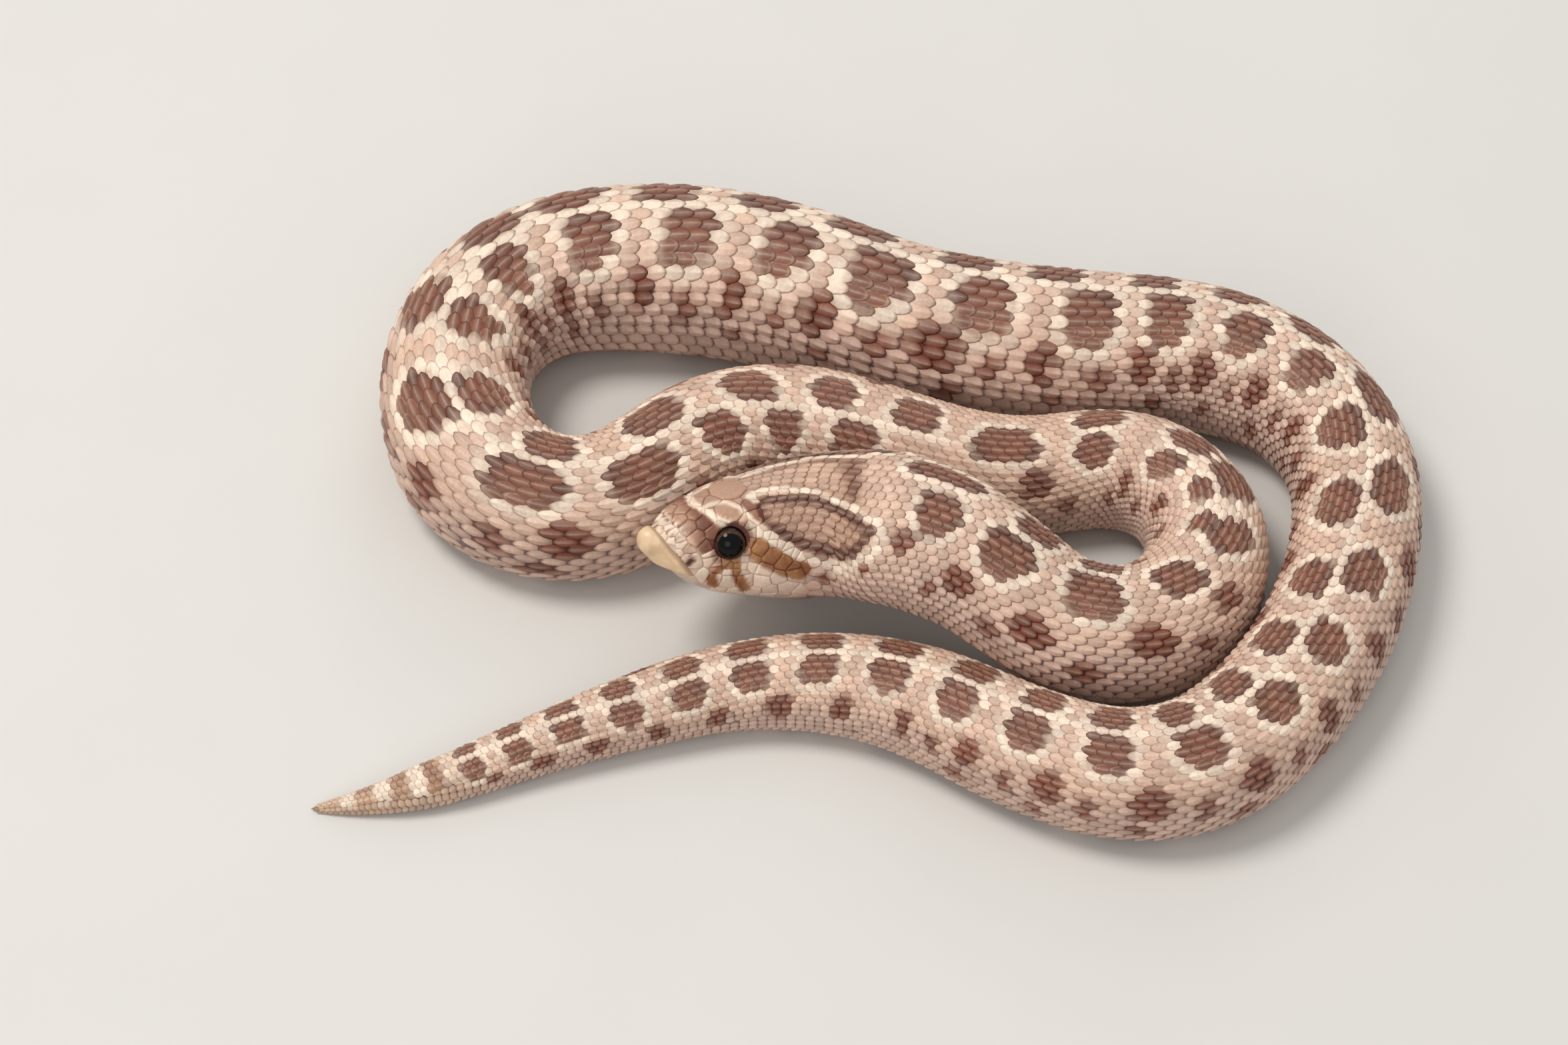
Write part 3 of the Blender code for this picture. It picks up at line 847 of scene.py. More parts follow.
def grain_group():
    """A fine leathery grain as a height and a roughness mask."""
    inputs = [("Size", "Float", 0.0003)]
    outputs = [("Height", "Float", None), ("Mask", "Float", None)]
    tree, given, out = new_group("skin_grain", inputs, outputs)
    place = object_place(tree)
    fine = node(tree, "ShaderNodeTexNoise")
    feed(tree, place, fine.inputs["Vector"])
    feed(tree, sums(tree, "DIVIDE", 1.0, given["Size"]), fine.inputs["Scale"])
    fine.inputs["Detail"].default_value = 4.0
    pits = node(tree, "ShaderNodeTexVoronoi")
    feed(tree, place, pits.inputs["Vector"])
    feed(tree, sums(tree, "DIVIDE", 2.2, given["Size"]), pits.inputs["Scale"])
    height = sums(tree, "ADD", fine.outputs["Fac"], sums(tree, "MULTIPLY", pits.outputs["Distance"], 0.4))
    feed(tree, height, out["Height"])
    feed(tree, ramp(tree, fine.outputs["Fac"], 0.3, 0.7), out["Mask"])
    return tree


def new_material(name):
    """A material with its tree and its Principled shader."""
    made = bpy.data.materials.new(name)
    made.use_nodes = True
    return made, made.node_tree, made.node_tree.nodes["Principled BSDF"]


def shared_group(name, make):
    """A node group, made the first time that it's asked for."""
    return bpy.data.node_groups.get(name) or make()


def add_grain(tree, shader, size, height, rough, smooth):
    """Gives a shader its fine grain, and roughness between two values."""
    grain = node(tree, "ShaderNodeGroup", node_tree=shared_group("skin_grain", grain_group))
    set_inputs(grain, {"Size": size})
    bump = node(tree, "ShaderNodeBump")
    set_inputs(bump, {"Strength": 0.6, "Distance": height})
    feed(tree, grain.outputs["Height"], bump.inputs["Height"])
    feed(tree, bump.outputs["Normal"], shader.inputs["Normal"])
    feed(tree, ramp(tree, grain.outputs["Mask"], 0.0, 1.0, smooth, rough), shader.inputs["Roughness"])


def hide_material(name, colours, dim=1.0, rough=0.55, smooth=0.38, coat=0.0):
    """The animal's markings over scales or hide."""
    made, tree, shader = new_material(name)
    mixed = node(tree, "ShaderNodeGroup", node_tree=shared_group("hide_pattern", pattern_group))
    for label in PATTERN_COLOURS:
        colour = [part * dim for part in getattr(colours, label.lower())]
        set_inputs(mixed, {label: (*colour, 1.0)})
    for label in (*MARK_NAMES, *DETAIL_NAMES):
        feed(tree, attribute(tree, label), mixed.inputs[label])
    feed(tree, mixed.outputs["Color"], shader.inputs["Base Color"])
    set_inputs(shader, {"Coat Weight": coat, "Coat Roughness": 0.3, "Specular IOR Level": 0.3})
    add_grain(tree, shader, 0.00028, 0.00003, rough, smooth)
    return made


def horn_material(colours):
    """The snout shield: waxy and pale, with painted shade that browns its border and sides."""
    made, tree, shader = new_material("snout_horn")
    place = object_place(tree)
    streak = noise(tree, place, 0.0012, 4.0)
    base = blend(tree, ramp(tree, streak, 0.35, 0.65, 0.0, 0.3), (*colours.horn, 1), (*colours.gold, 1))
    # Painted shade: browner toward the shield's border and on its sides.
    worn = blend(tree, attribute(tree, "edge"), base, (*colours.brown, 1))
    feed(tree, worn, shader.inputs["Base Color"])
    set_inputs(shader, {"Coat Weight": 0.15, "Coat Roughness": 0.25})
    add_grain(tree, shader, 0.0003, 0.00002, 0.5, 0.34)
    return made


def eye_material(colours):
    """A dark iris with a round black pupil under a clear, wet-looking cover."""
    made, tree, shader = new_material("wet_eye")
    gaze = attribute(tree, "gaze")
    place = object_place(tree)
    fibres = noise(tree, place, 0.00025, 4.0)
    iris = blend(tree, ramp(tree, fibres, 0.3, 0.7), (*colours.iris, 1), (*colours.iris_light, 1))
    rim = blend(tree, ramp(tree, gaze, 0.95, 1.2), iris, (*colours.pupil, 1))
    colour = blend(tree, ramp(tree, gaze, 0.8, 0.88, 1.0, 0.0), rim, (*colours.pupil, 1))
    feed(tree, colour, shader.inputs["Base Color"])
    set_inputs(shader, {"Roughness": 0.3, "Specular IOR Level": 0.0})
    set_inputs(shader, {"Coat Weight": 0.35, "Coat Roughness": 0.02})
    return made


# The hide


HEAD_RINGS, BODY_RINGS, HIDE_SIDES = 54, 380, 72
SHIELD_COVER = 0.9  # how far behind the snout's tip the hide starts, under the shield
HIDE_REST = {"crest": 0.0, "tone": 0.45}  # what the hide has where a scale has its own values
POINT_GAP = 1e-4  # points nearer than this are joined
EYE_SINK, NOSTRIL_SINK, MOUTH_SINK = 1.1, 0.7, 0.35
MOUTH_CORNER = -6.8  # how far back the mouth's line reaches, from the head's own origin


def hide_rings():
    """The distances along at which the hide has a ring: closer on the head, from behind the shield's tip."""
    head = np.linspace(SNOUT_ALONG + SHIELD_COVER, 0.0, HEAD_RINGS)
    body = np.linspace(0.0, TIP_ALONG - 0.02, BODY_RINGS)[1:]
    return np.concatenate([head, body])


def place_points(bm, along, across, places):
    """Puts a mesh's points where they belong and keeps each one's along and across."""
    layers = [bm.verts.layers.float.new(name) for name in ("along", "across")]
    for vert, place, a, b in zip(bm.verts, places, along, across):
        vert.co = place
        vert[layers[0]] = a
        vert[layers[1]] = b


def read_points(bm, verts=None):
    """Where the points lie on the hide, as along and across."""
    layers = [bm.verts.layers.float[name] for name in ("along", "across")]
    return [np.array([vert[layer] for vert in verts or bm.verts]) for layer in layers]


def hide_places(rings, along, shares):
    """The hide's points, with its seam closed down the belly and its last ring drawn out to a point."""
    across = shares * HIDE.around_at(along) - curve(MIDDLE_LINE, along)
    places = HIDE.lay(along, across + 1e-9, 0.0)
    edge = np.abs(np.abs(shares) - 1) < 1e-6
    seam = HIDE.lay(along, HIDE.around_at(along) * 0.999999 - curve(MIDDLE_LINE, along), 0.0)
    places[edge] = seam[edge]
    places = sink_features(along, across, places)
    last, before = (along == rings[-1]), (along == rings[-2])
    end = places[last].mean(axis=0)
    places[last] = end + (end - places[before].mean(axis=0)) * 0.8
    return across, places


def sink_features(along, across, places):
    """Presses the hide in under the eyes, at the nostrils and along the mouth."""
    local = in_head(places)
    inward = places - HIDE.lay(along, across, 1.0)
    for side in (1, -1):
        eye = np.array([EYE_PLACE[0], side * EYE_PLACE[1], EYE_PLACE[2]])
        reach = np.linalg.norm(local - eye, axis=1)
        places = places + inward * (EYE_SINK * fade(1.0, 1.75, reach) * (along < 0))[:, None]
    hole = np.hypot(along - NOSTRIL[0], np.abs(wrap(along, across)) - NOSTRIL[1])
    places = places + inward * (NOSTRIL_SINK * fade(0.2, 0.7, hole))[:, None]
    lips = (along < 0) & (-along - SKULL_BACK > MOUTH_CORNER)
    gap = np.abs(local[:, 2] - curve(MOUTH, -along - SKULL_BACK))
    return places + inward * (MOUTH_SINK * fade(0.1, 0.6, gap) * lips)[:, None]


def hide_mesh():
    """The hide as one closed mesh with its bake map, before its markings."""
    rings = hide_rings()
    bm = bmesh.new()
    bmesh.ops.create_grid(bm, x_segments=len(rings) - 1, y_segments=HIDE_SIDES, size=0.5)
    index = np.array([vert.co.x + 0.5 for vert in bm.verts]) * (len(rings) - 1)
    shares = np.array([vert.co.y + 0.5 for vert in bm.verts]) * 2 - 1
    along = rings[np.rint(index).astype(int)]
    place_points(bm, along, *hide_places(rings, along, shares))
    bake = bm.loops.layers.uv.new("OFBake")
    along_layer = bm.verts.layers.float["along"]
    share_of = dict(zip(bm.verts, shares))
    for face in bm.faces:
        strip = min(vert[along_layer] for vert in face.verts) - SNOUT_ALONG
        strip = min(int(strip // STRIP_LENGTH), STRIPS - 1)
        for loop in face.loops:
            loop[bake].uv = unwrap(loop.vert[along_layer], share_of[loop.vert], strip)
    bmesh.ops.remove_doubles(bm, verts=bm.verts, dist=POINT_GAP)
    close_holes(bm)
    return finished_mesh(bm, "hide")


def make_hide(colours):
    """The hide: one closed skin that replaces every solid but the eyes and the snout shield."""
    mesh = hide_mesh()
    along, across = np.empty((2, len(mesh.vertices)), np.float32)
    mesh.attributes["along"].data.foreach_get("value", along)
    mesh.attributes["across"].data.foreach_get("value", across)
    along = along.astype(float)
    across = wrap(along, across.astype(float))
    share = np.abs(across) / HIDE.around_at(along)
    values = marks(along, across)
    # Painted shade over the bare hide, which shows between and under the scales; none at the tail's tip.
    values["edge"] = (0.3 + 0.5 * ease(2.0, 12.0, along)) * fade(355.0, 358.0, along)
    values["between"] = ease(2.0, 14.0, along) * (0.5 + 0.5 * ease(0.2, 0.35, share))
    values["between"] *= fade(350.0, 356.0, along)
    values |= {name: np.full(len(along), value) for name, value in HIDE_REST.items()}
    write_attributes(mesh, values)
    # The hide's colours are dimmed as more painted shade.
    material = hide_material("bare_hide", colours, dim=0.85)
    darken_seams(material.node_tree, colours.seam)
    flesh = [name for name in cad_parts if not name.startswith(("eye", "rostral"))]
    add_piece("hide", mesh, material, flesh)


def darken_seams(tree, seam):
    """Turns the hide's light colours toward the seams' colour where it shows between scales."""
    mixed = next(item for item in tree.nodes if item.type == "GROUP" and "Ground" in item.inputs)
    between = attribute(tree, "between")
    for label in ("Ground", "Flank", "Cream"):
        colour = tuple(mixed.inputs[label].default_value)
        feed(tree, blend(tree, between, colour, (*seam, 1.0)), mixed.inputs[label])


# Scales


SCALE_COLUMNS = (0.0, 0.3, 0.58, 0.8, 0.93, 1.0)
SCALE_ROWS = (-1.0, -0.66, -0.18, 0.0, 0.18, 0.66, 1.0)
SCUTE_COLUMNS = (0.0, 0.45, 0.86, 1.0)
SCUTE_ROWS = tuple(n / 5 - 1 for n in range(11))


def slab_template(columns, rows):
    """A slab in its own sizes: u from root to tip, v across, and w 1 on top and 0 under it."""
    bm = bmesh.new()
    bmesh.ops.create_grid(bm, x_segments=len(columns) - 1, y_segments=len(rows) - 1, size=1.0)
    for vert in bm.verts:
        i = round((vert.co.x + 1) / 2 * (len(columns) - 1))
        j = round((vert.co.y + 1) / 2 * (len(rows) - 1))
        vert.co = (columns[i], rows[j], 1.0)
    for vert in add_walls(bm):
        vert.co.z = 0.0
    close_holes(bm)
    return read_mesh(bm)


# A scale's half breadth from its root to its tip, on the flank and on the back.
OVAL_SHAPE = ((0.0, 0.5), (0.2, 0.86), (0.45, 1.0), (0.75, 0.88), (0.9, 0.62), (1.0, 0.2))
TIP_SHAPE = ((0.0, 0.5), (0.2, 0.84), (0.42, 1.0), (0.66, 0.92), (0.84, 0.64), (0.94, 0.36), (1.0, 0.12))
UNDER = 0.5  # a template point whose w is over this is on top
MOST_LEAN = 1.5
KEELED_ROWS, LOW_KEEL = 14, 0.3  # rows past this one have keels of this share of the full height
SCALE_THICK, SCUTE_THICK = 0.11, 0.1  # the least thickness of a full-sized one, in millimetres
SCUTE_OVERLAP, SCUTE_BOW, SCUTE_RISE = 1.32, 0.18, 0.85


def row_weights(along):
    """How wide each row is, from the right side's lowest row to the left side's."""
    weights = []
    for row in range(-ROW_PAIRS, ROW_PAIRS + 1):
        weight = BROAD_ROWS.get(abs(row), 1.0) * np.ones(np.shape(along))
        if abs(row) in ROW_ENDS:
            end = ROW_ENDS[abs(row)]
            weight = weight * fade(end - ROW_FADE, end, along)
        if abs(row) in ROW_GAPS:
            start, end = ROW_GAPS[abs(row)]
            gap = ease(start - ROW_FADE, start, along) * fade(end, end + ROW_FADE, along)
            weight = weight * (1 - gap)
        weights.append(weight)
    return np.array(weights)


def scale_counts():
    """Running count of scales along the body: (alongs, counts)."""
    alongs = np.arange(-8.0, TIP_ALONG, 0.1)
    return alongs, np.concatenate([[0.0], np.cumsum(0.1 / curve(SCALE_PITCH, alongs))[:-1]])


def first_along(across):
    """Where the small scales start behind the head plates."""
    return np.interp(np.abs(across), (0, 2, 5, 7, 10, 13), (-6.2, -5.9, -6.3, -5.2, -2.6, -1.8))


def scale_sites():
    """Every back and side scale's place and size: along, across, row, row spacing and pitch."""
    alongs, counts = scale_counts()
    found = []
    for n, row in enumerate(range(-ROW_PAIRS, ROW_PAIRS + 1)):
        weights = row_weights(alongs)
        unit = 2 * DORSAL_SHARE * HIDE.around_at(alongs) / weights.sum(axis=0)
        across = (weights[:n].sum(axis=0) + weights[n] / 2 - weights.sum(axis=0) / 2) * unit
        # Behind the jaw the hide is crowded, so a row loses a whole number of scales there.
        real = np.clip(HIDE.stretch_at(alongs, across), 0.3, 1.2)
        lost = (1 - real) * fade(6.0, 10.0, alongs) * np.gradient(counts)
        lost = lost * round(lost.sum()) / lost.sum()
        spread = 1 - lost / np.gradient(counts)
        row_counts = counts + np.cumsum(lost[::-1])[::-1]
        steps = np.arange(row_counts[0] // 1 + (row % 2) / 2, counts[-1], 1.0)
        steps = steps[steps > row_counts[0]]
        at = np.interp(steps, row_counts, alongs)
        here = [np.interp(at, alongs, value) for value in (across, unit * weights[n], weights[n], spread)]
        keep = (here[2] > 0.4) & (at > first_along(here[0])) & (at < TIP_ALONG - 0.6)
        pitch = curve(SCALE_PITCH, at)
        rows = np.full(len(at), float(row))
        found.append(np.stack([at, here[0], rows, here[1], pitch, pitch / here[3]], axis=1)[keep])
    return np.concatenate(found)


def shared_out(pair, share):
    """A value between the back's, at a share of zero, and the flank's."""
    return pair[0] * (1 - share) + pair[1] * share


def scale_mesh(name, sites, tones, sway, sizes, template):
    """One group of keeled scales: pointed ones that overlap on the back, oval ones on the flank."""
    u, v, top = template[0].T
    along, across, row, spacing, pitch, apart = sites.T
    real = HIDE.stretch_at(along, across) * apart / pitch
    lower = ease(0.25, 0.42, np.abs(across) / HIDE.around_at(along)) * ease(4.0, 14.0, along)
    lean = np.clip(HIDE.lean_at(along, across), -MOST_LEAN, MOST_LEAN)
    length = shared_out(SCALE_OVERLAP, lower) * apart * np.clip(real, 0.5, 1.35) / real
    length = length / (1 + 0.4 * np.abs(lean))
    breadth = shared_out(SCALE_BREADTH, lower) * spacing * (1 + 0.04 * sway[:, 0])
    # The scale's outline on the hide.
    spread = v * (np.outer(1 - lower, curve(TIP_SHAPE, u)) + np.outer(lower, curve(OVAL_SHAPE, u)))
    at = along[:, None] + np.outer(length, u - 0.5) - spread * (lean * breadth)[:, None]
    side = across[:, None] + spread * breadth[:, None] + np.outer(sway[:, 1] * length, 0.03 * (u - 0.3))
    # Its height over the hide: a dome that rises to the free edge, with a keel behind the scale before.
    size = np.clip(spacing, 0.3, 1.25)
    keel = sizes.keel_height / MM * size * ease(-6.0, 6.0, along)
    keel = keel * np.where(np.abs(row) > KEELED_ROWS, LOW_KEEL, 1.0)
    height = sizes.scale_rise / MM * np.outer(size * (1 + 0.12 * sway[:, 2]), 0.1 + 0.9 * u**0.8)
    sides = v**2 * ease(0.0, 0.3, u) * (1 - 0.6 * ease(0.8, 1.0, u))
    dome = 1 - np.outer(0.5 + 0.25 * lower, sides) - 0.2 * ease(0.85, 1.0, u)
    ridge = np.exp(-((v / 0.16) ** 2)) * ease(0.25, 0.5, u) * fade(0.88, 1.0, u)
    height = height * dome + np.outer(keel, ridge)
    under = np.minimum(height - SCALE_THICK * size[:, None], 0.04)
    height = np.maximum(np.where(top > UNDER, height, under), -0.05)
    whole = np.where(along < 9.0, 0.45, 0.72)[:, None]
    values = scale_marks(along + 0.2 * pitch, across, at, side, whole)
    # The border sets the pale margins in the blotches and painted shade at the scale's edge; the underside
    # gets more painted shade.
    border = np.maximum(ease(0.35, 1.0, np.abs(v)), ease(0.7, 1.0, u))
    values["edge"] = border * 0.9 + 0.1 * (top < UNDER)
    # A painted highlight along the keel.
    values["crest"] = np.exp(-((v / 0.2) ** 2)) * ease(0.1, 0.4, u) * fade(0.85, 1.0, u)
    values["tone"] = tones[:, None]
    return repeat_mesh(name, HIDE.lay(at, side, height) * MM, template, values, along, across)


def make_scales(colours, sizes):
    """Every keeled scale, in groups from the nape to the tail."""
    template = slab_template(SCALE_COLUMNS, SCALE_ROWS)
    sites = scale_sites()
    rng = np.random.default_rng(SCALE_SEED)
    tones = rng.random(len(sites))
    sway = rng.uniform(-1, 1, (len(sites), 3))
    material = hide_material("keeled_scales", colours, coat=0.04)
    order = np.argsort(np.argsort(sites[:, 0]))
    for n, name in enumerate(SCALE_GROUPS):
        group = order * len(SCALE_GROUPS) // len(sites) == n
        mesh = scale_mesh("scales_" + name, sites[group], tones[group], sway[group], sizes, template)
        add_piece("scales_" + name, mesh, material)


def scale_marks(along, across, at, side, whole):
    """A scale's markings: mostly one value for the whole of it, with a little of each point's own."""
    one = marks(along, across)
    own = marks(at.ravel(), side.ravel())
    return {
        name: one[name][:, None] * whole + own[name].reshape(at.shape) * (1 - whole) for name in one
    }


def repeat_mesh(name, places, template, values, along, across):
    """Joins copies of one template, each laid at its own place, with its patch of the bake map."""
    (u, v, _), corners, totals = template[0].T, *template[1:]
    count, size = places.shape[:2]
    root_u, root_v = bake_at(along, across).T
    patch_u = root_u[:, None] + v * BAKE_PATCH / 2
    patch_v = root_v[:, None] + (u - 0.5) * BAKE_PATCH
    return joined_mesh(
        name,
        places.reshape(-1, 3),
        (corners + np.arange(count)[:, None] * size).ravel(),
        np.tile(totals, count),
        {key: np.broadcast_to(value, (count, size)).ravel() for key, value in values.items()},
        np.stack([patch_u, patch_v], axis=-1).reshape(-1, 2),
    )


def scute_sites():
    """The belly scutes' places: (along, across, half breadth). Behind the vent they are divided in two."""
    alongs, counts = scale_counts()
    at = np.interp(np.arange(5.5, counts[-1] - 2, 1.0), counts, alongs)
    trunk, tail = at[at < VENT_ALONG], at[at >= VENT_ALONG]
    middle = np.concatenate([np.zeros(len(trunk)), np.full(len(tail), -1.0), np.full(len(tail), 1.0)])
    along = np.concatenate([trunk, tail, tail])
    half = HIDE.around_at(along)
    reach = half * (1 - DORSAL_SHARE + 0.03)
    breadth = np.where(middle == 0, reach, reach / 2)
    return along, half + middle * breadth * 0.98, breadth


def make_scutes(colours, sizes):
    """The belly's broad scutes, joined as one mesh."""
    template = slab_template(SCUTE_COLUMNS, SCUTE_ROWS)
    u, v, top = template[0].T
    along, across, breadth = scute_sites()
    pitch = curve(SCALE_PITCH, along)
    stretch = HIDE.stretch_at(along, across)
    length = SCUTE_OVERLAP * pitch * np.clip(stretch, 0.8, 1.2) / stretch
    at = along[:, None] + np.outer(length, (u - 0.5) * (1 - SCUTE_BOW * v**2))
    side = across[:, None] + np.outer(breadth, v)
    size = np.clip(pitch / 2.0, 0.25, 1.0)
    profile = (0.12 + 0.88 * u) * (1 - 0.3 * ease(0.86, 1.0, u)) * (1 - 0.3 * ease(0.8, 1.0, np.abs(v)))
    height = sizes.scale_rise / MM * SCUTE_RISE * np.outer(size, profile)
    height = np.where(top > UNDER, height, np.minimum(height - SCUTE_THICK * size[:, None], 0.03))
    values = scale_marks(along, wrap(along, across), at, wrap(at, side), 0.3)
    # Painted shade toward each scute's free edge and its ends.
    values["edge"] = 0.8 * np.maximum(ease(0.86, 1.0, u), ease(0.9, 1.0, np.abs(v)) * 0.6)
    values["crest"] = 0.0
    values["tone"] = np.random.default_rng(SCUTE_SEED).random(len(along))[:, None]
    places = HIDE.lay(at, side, height) * MM
    mesh = repeat_mesh("belly_scutes", places, template, values, along, across)
    material = hide_material("smooth_scutes", colours, rough=0.42, smooth=0.3, coat=0.1)
    add_piece("belly_scutes", mesh, material)


# Head plates. Each is the part of the hide nearest its own site, so the plates fit together.


Plate = namedtuple("Plate", "along across pull built height")  # a larger pull makes a larger plate

HEAD_PLATES = (
    (-7.9, 0.0, 1.75),  # frontal
    (-11.1, 0.0, 0.6), (-12.7, 0.0, 0.85), (-14.3, 0.0, 0.7),  # down the middle of the snout
)
PAIRED_PLATES = (
    (-9.2, 2.9, 1.25),  # over the eye
    (-10.1, 0.95, 0.75), (-12.1, 1.4, 0.8), (-11.7, 2.8, 0.75), (-11.2, 4.1, 0.7),
    (-13.4, 1.0, 0.75), (-13.0, 2.4, 0.75), (-12.5, 3.8, 0.75), (-11.8, 5.1, 0.6),
    (-6.6, 1.9, 0.8), (-7.0, 3.1, 0.8), (-6.9, 4.4, 0.8),  # behind the crown
    (-13.1, 6.0, 0.95),  # nasal
    (-7.0, 7.6, 0.75), (-5.9, 8.9, 0.8), (-4.9, 9.9, 0.8), (-3.9, 10.9, 0.75), (-6.4, 10.2, 0.75),
    (-5.2, 11.2, 0.7),
)
EYE_RING = (14, 1.98, 0.3, 0.2)  # the small plates round each eye: count, distance, pull and height
EYE_PULL = 1.62  # how much room the plates leave for an eye
# The plates along both lips: how far from the mouth, where they start, their pull and their height.
LIP_ROWS = ((-0.95, -13.5, 0.8, 0.18), (0.95, -13.8, 0.72, 0.16))
LIP_STEPS = (0.95, 1.1, 1.25, 1.4, 1.5, 1.5, 1.35, 1.2)
LARGE_HEIGHT, PAIRED_HEIGHT = 0.18, 0.16  # in millimetres over the hide
SMALL_PLATE = 0.72  # the spacing of the small plates that fill the head between the large ones
SMALL_JITTER = 0.12  # how far they stray from even rows
SMALL_KIND, JAW_KIND = (0.34, 0.12), (0.6, 0.14)  # the pull and height of small plates and of jaw plates
SMALL_PULL = 0.5  # a plate with less pull than this counts as small
JAW_PLATE = 1.25  # the spacing of the plates under the jaw
NOSTRIL_PIT = 0.45  # how deep the nostril is in its plate
SHIELD_LEAN = 6.0  # how much further the shield's root leans than its solid
# How far inside a border the loops lie that round it off. The first is the border itself.
PLATE_LOOPS = (0.02, 0.1, 0.22)
SHIELD_LOOPS = (0.0, 0.04, 0.09, 0.15, 0.22, 0.3, 0.4)
PLATE_DEPTH = 0.55  # how far a plate reaches under the hide
SHIELD_RISE, RIDGE_RISE, RIDGE_BREADTH = 0.42, 0.16, 0.45  # how far it and its keel stand out
SHIELD_INNER = 0.93  # the size of its inner border against its outer one
SMOOTHINGS = 12  # how many times its tip is smoothed
SLIVER, EYE_SLIVER = 0.1, 0.4  # plates with less area are left out, in square millimetres


def mouth_at(along):
    """How far across the mouth lies here."""
    return float(HIDE.mouth_across(np.array([along]))[0])


def from_eye(along, across):
    """How far a place on the hide lies from the left eye's middle."""
    return math.hypot(along - EYE[0], across - EYE[1])


def left_plates():
    """The plates of the left side and the middle as (along, across, pull, height)."""
    rng = np.random.default_rng(SITE_SEED)
    pairs = [(*row, PAIRED_HEIGHT) for row in PAIRED_PLATES]
    count, away, pull, height = EYE_RING
    for n in range(count):
        angle = 2 * math.pi * n / count
        pairs.append((EYE[0] + away * math.cos(angle), EYE[1] + away * math.sin(angle), pull, height))
    large = [*HEAD_PLATES, *PAIRED_PLATES]
    for lip, start, pull, height in LIP_ROWS:
        for n, step in enumerate(LIP_STEPS):
            along = start + sum(LIP_STEPS[:n]) + step / 2
            row = (along, mouth_at(along) + lip, pull)
            pairs.append((*row, height))
            large.append(row)
    # The ring round the eye takes the place of the lip plates that would reach into it.
    pairs = [row for row in pairs if not 0.2 < from_eye(*row[:2]) < 1.9 or row[3] == PAIRED_HEIGHT]
    for n, along in enumerate(np.arange(-16.4, -1.6, SMALL_PLATE * 0.87)):
        pairs += small_plates(n, along, large, rng)
        if n % 2 == 0:
            pairs += jaw_plates(n, along)
    return pairs


def small_plates(n, along, large, rng):
    """One row of small plates, where the large ones, the eye, the scales and the mouth leave room."""
    found = []
    for k in range(40):
        a = along + rng.uniform(-SMALL_JITTER, SMALL_JITTER)
        b = (k + 0.5 * (n % 2)) * SMALL_PLATE + rng.uniform(-SMALL_JITTER, SMALL_JITTER)
        if n % 2 == 0 and k == 0:
            b = 0.0
        clear = min(math.hypot(a - row[0], b - row[1]) - row[2] for row in large)
        behind = a > float(first_along(b)) - 0.2
        if clear >= 0.28 and from_eye(a, b) >= 2.3 and not behind and b <= mouth_at(along) - 1.3:
            found.append((a, b, *SMALL_KIND))
    return found


def jaw_plates(n, along):
    """One row of the larger plates under the jaw. Every other row is staggered."""
    mouth = mouth_at(along)
    room = float(HIDE.around_at(along)) - mouth - 1.7
    start = mouth + 2.1
    return [
        (along, start + (k + 0.5 * (n % 4 == 0)) * JAW_PLATE, *JAW_KIND)
        for k in range(max(int(room / JAW_PLATE), 0))
    ]


def plate_sites():
    """Every plate of the head, and the eyes, which hold their place but aren't built."""
    sites = [Plate(*row, True, LARGE_HEIGHT) for row in HEAD_PLATES]
    for along, across, pull, height in left_plates():
        sites.append(Plate(along, across, pull, True, height))
        if across > 1e-6:
            sites.append(Plate(along, -across, pull, True, height))
    return sites + [Plate(EYE[0], side * EYE[1], EYE_PULL, False, 0.0) for side in (1, -1)]


def plate_edges(site, centre, sites, centres):
    """The planes between a site and its neighbours: (point, outward direction)."""
    found = []
    for other, place in zip(sites, centres):
        away = place - centre
        gap = away.length
        if gap < 1e-6 or gap > 6.5:
            continue
        share = 0.5 + (site.pull**2 - other.pull**2) / (2 * gap * gap)
        found.append((centre + away * share, away.normalized(), share * gap))
    found.sort(key=lambda item: item[2])
    return [(point, way) for point, way, _ in found[:14]]


def cut_by_planes(bm, planes, shifts):
    """Cuts off what lies outside the planes at the first shift, and adds loops at the others."""
    for shift in shifts:
        for point, way in planes:
            bmesh.ops.bisect_plane(
                bm,
                geom=[*bm.verts, *bm.edges, *bm.faces],
                dist=1e-5,
                plane_co=point - way * shift,
                plane_no=way,
                clear_outer=shift == shifts[0],
            )


def inside_planes(bm, planes):
    """How far inside the nearest plane each point lies."""
    points = np.array([vert.co[:] for vert in bm.verts])
    inside = np.full(len(points), 9.0)
    for point, way in planes:
        inside = np.minimum(inside, (np.array(point) - points) @ np.array(way))
    return inside


def move_points(verts, places):
    """Moves points to new places."""
    for vert, place in zip(verts, places):
        vert.co = place


def plate_patch(site, planes):
    """The patch of hide that lies nearer to one site than to its neighbours, as a bmesh."""
    small = site.pull < SMALL_PULL
    reach, fine = (1.3, 8) if small else (1.2 + site.pull * 1.6, 18)
    bm = bmesh.new()
    bmesh.ops.create_grid(bm, x_segments=fine, y_segments=fine, size=1.0)
    along = np.array([vert.co.x for vert in bm.verts]) * reach + site.along
    along = np.clip(along, SNOUT_ALONG + 0.05, 8.0)
    across = np.array([vert.co.y for vert in bm.verts]) * reach + site.across
    place_points(bm, along, across, HIDE.lay(along, across, 0.0))
    cut_by_planes(bm, planes, PLATE_LOOPS)
    return bm


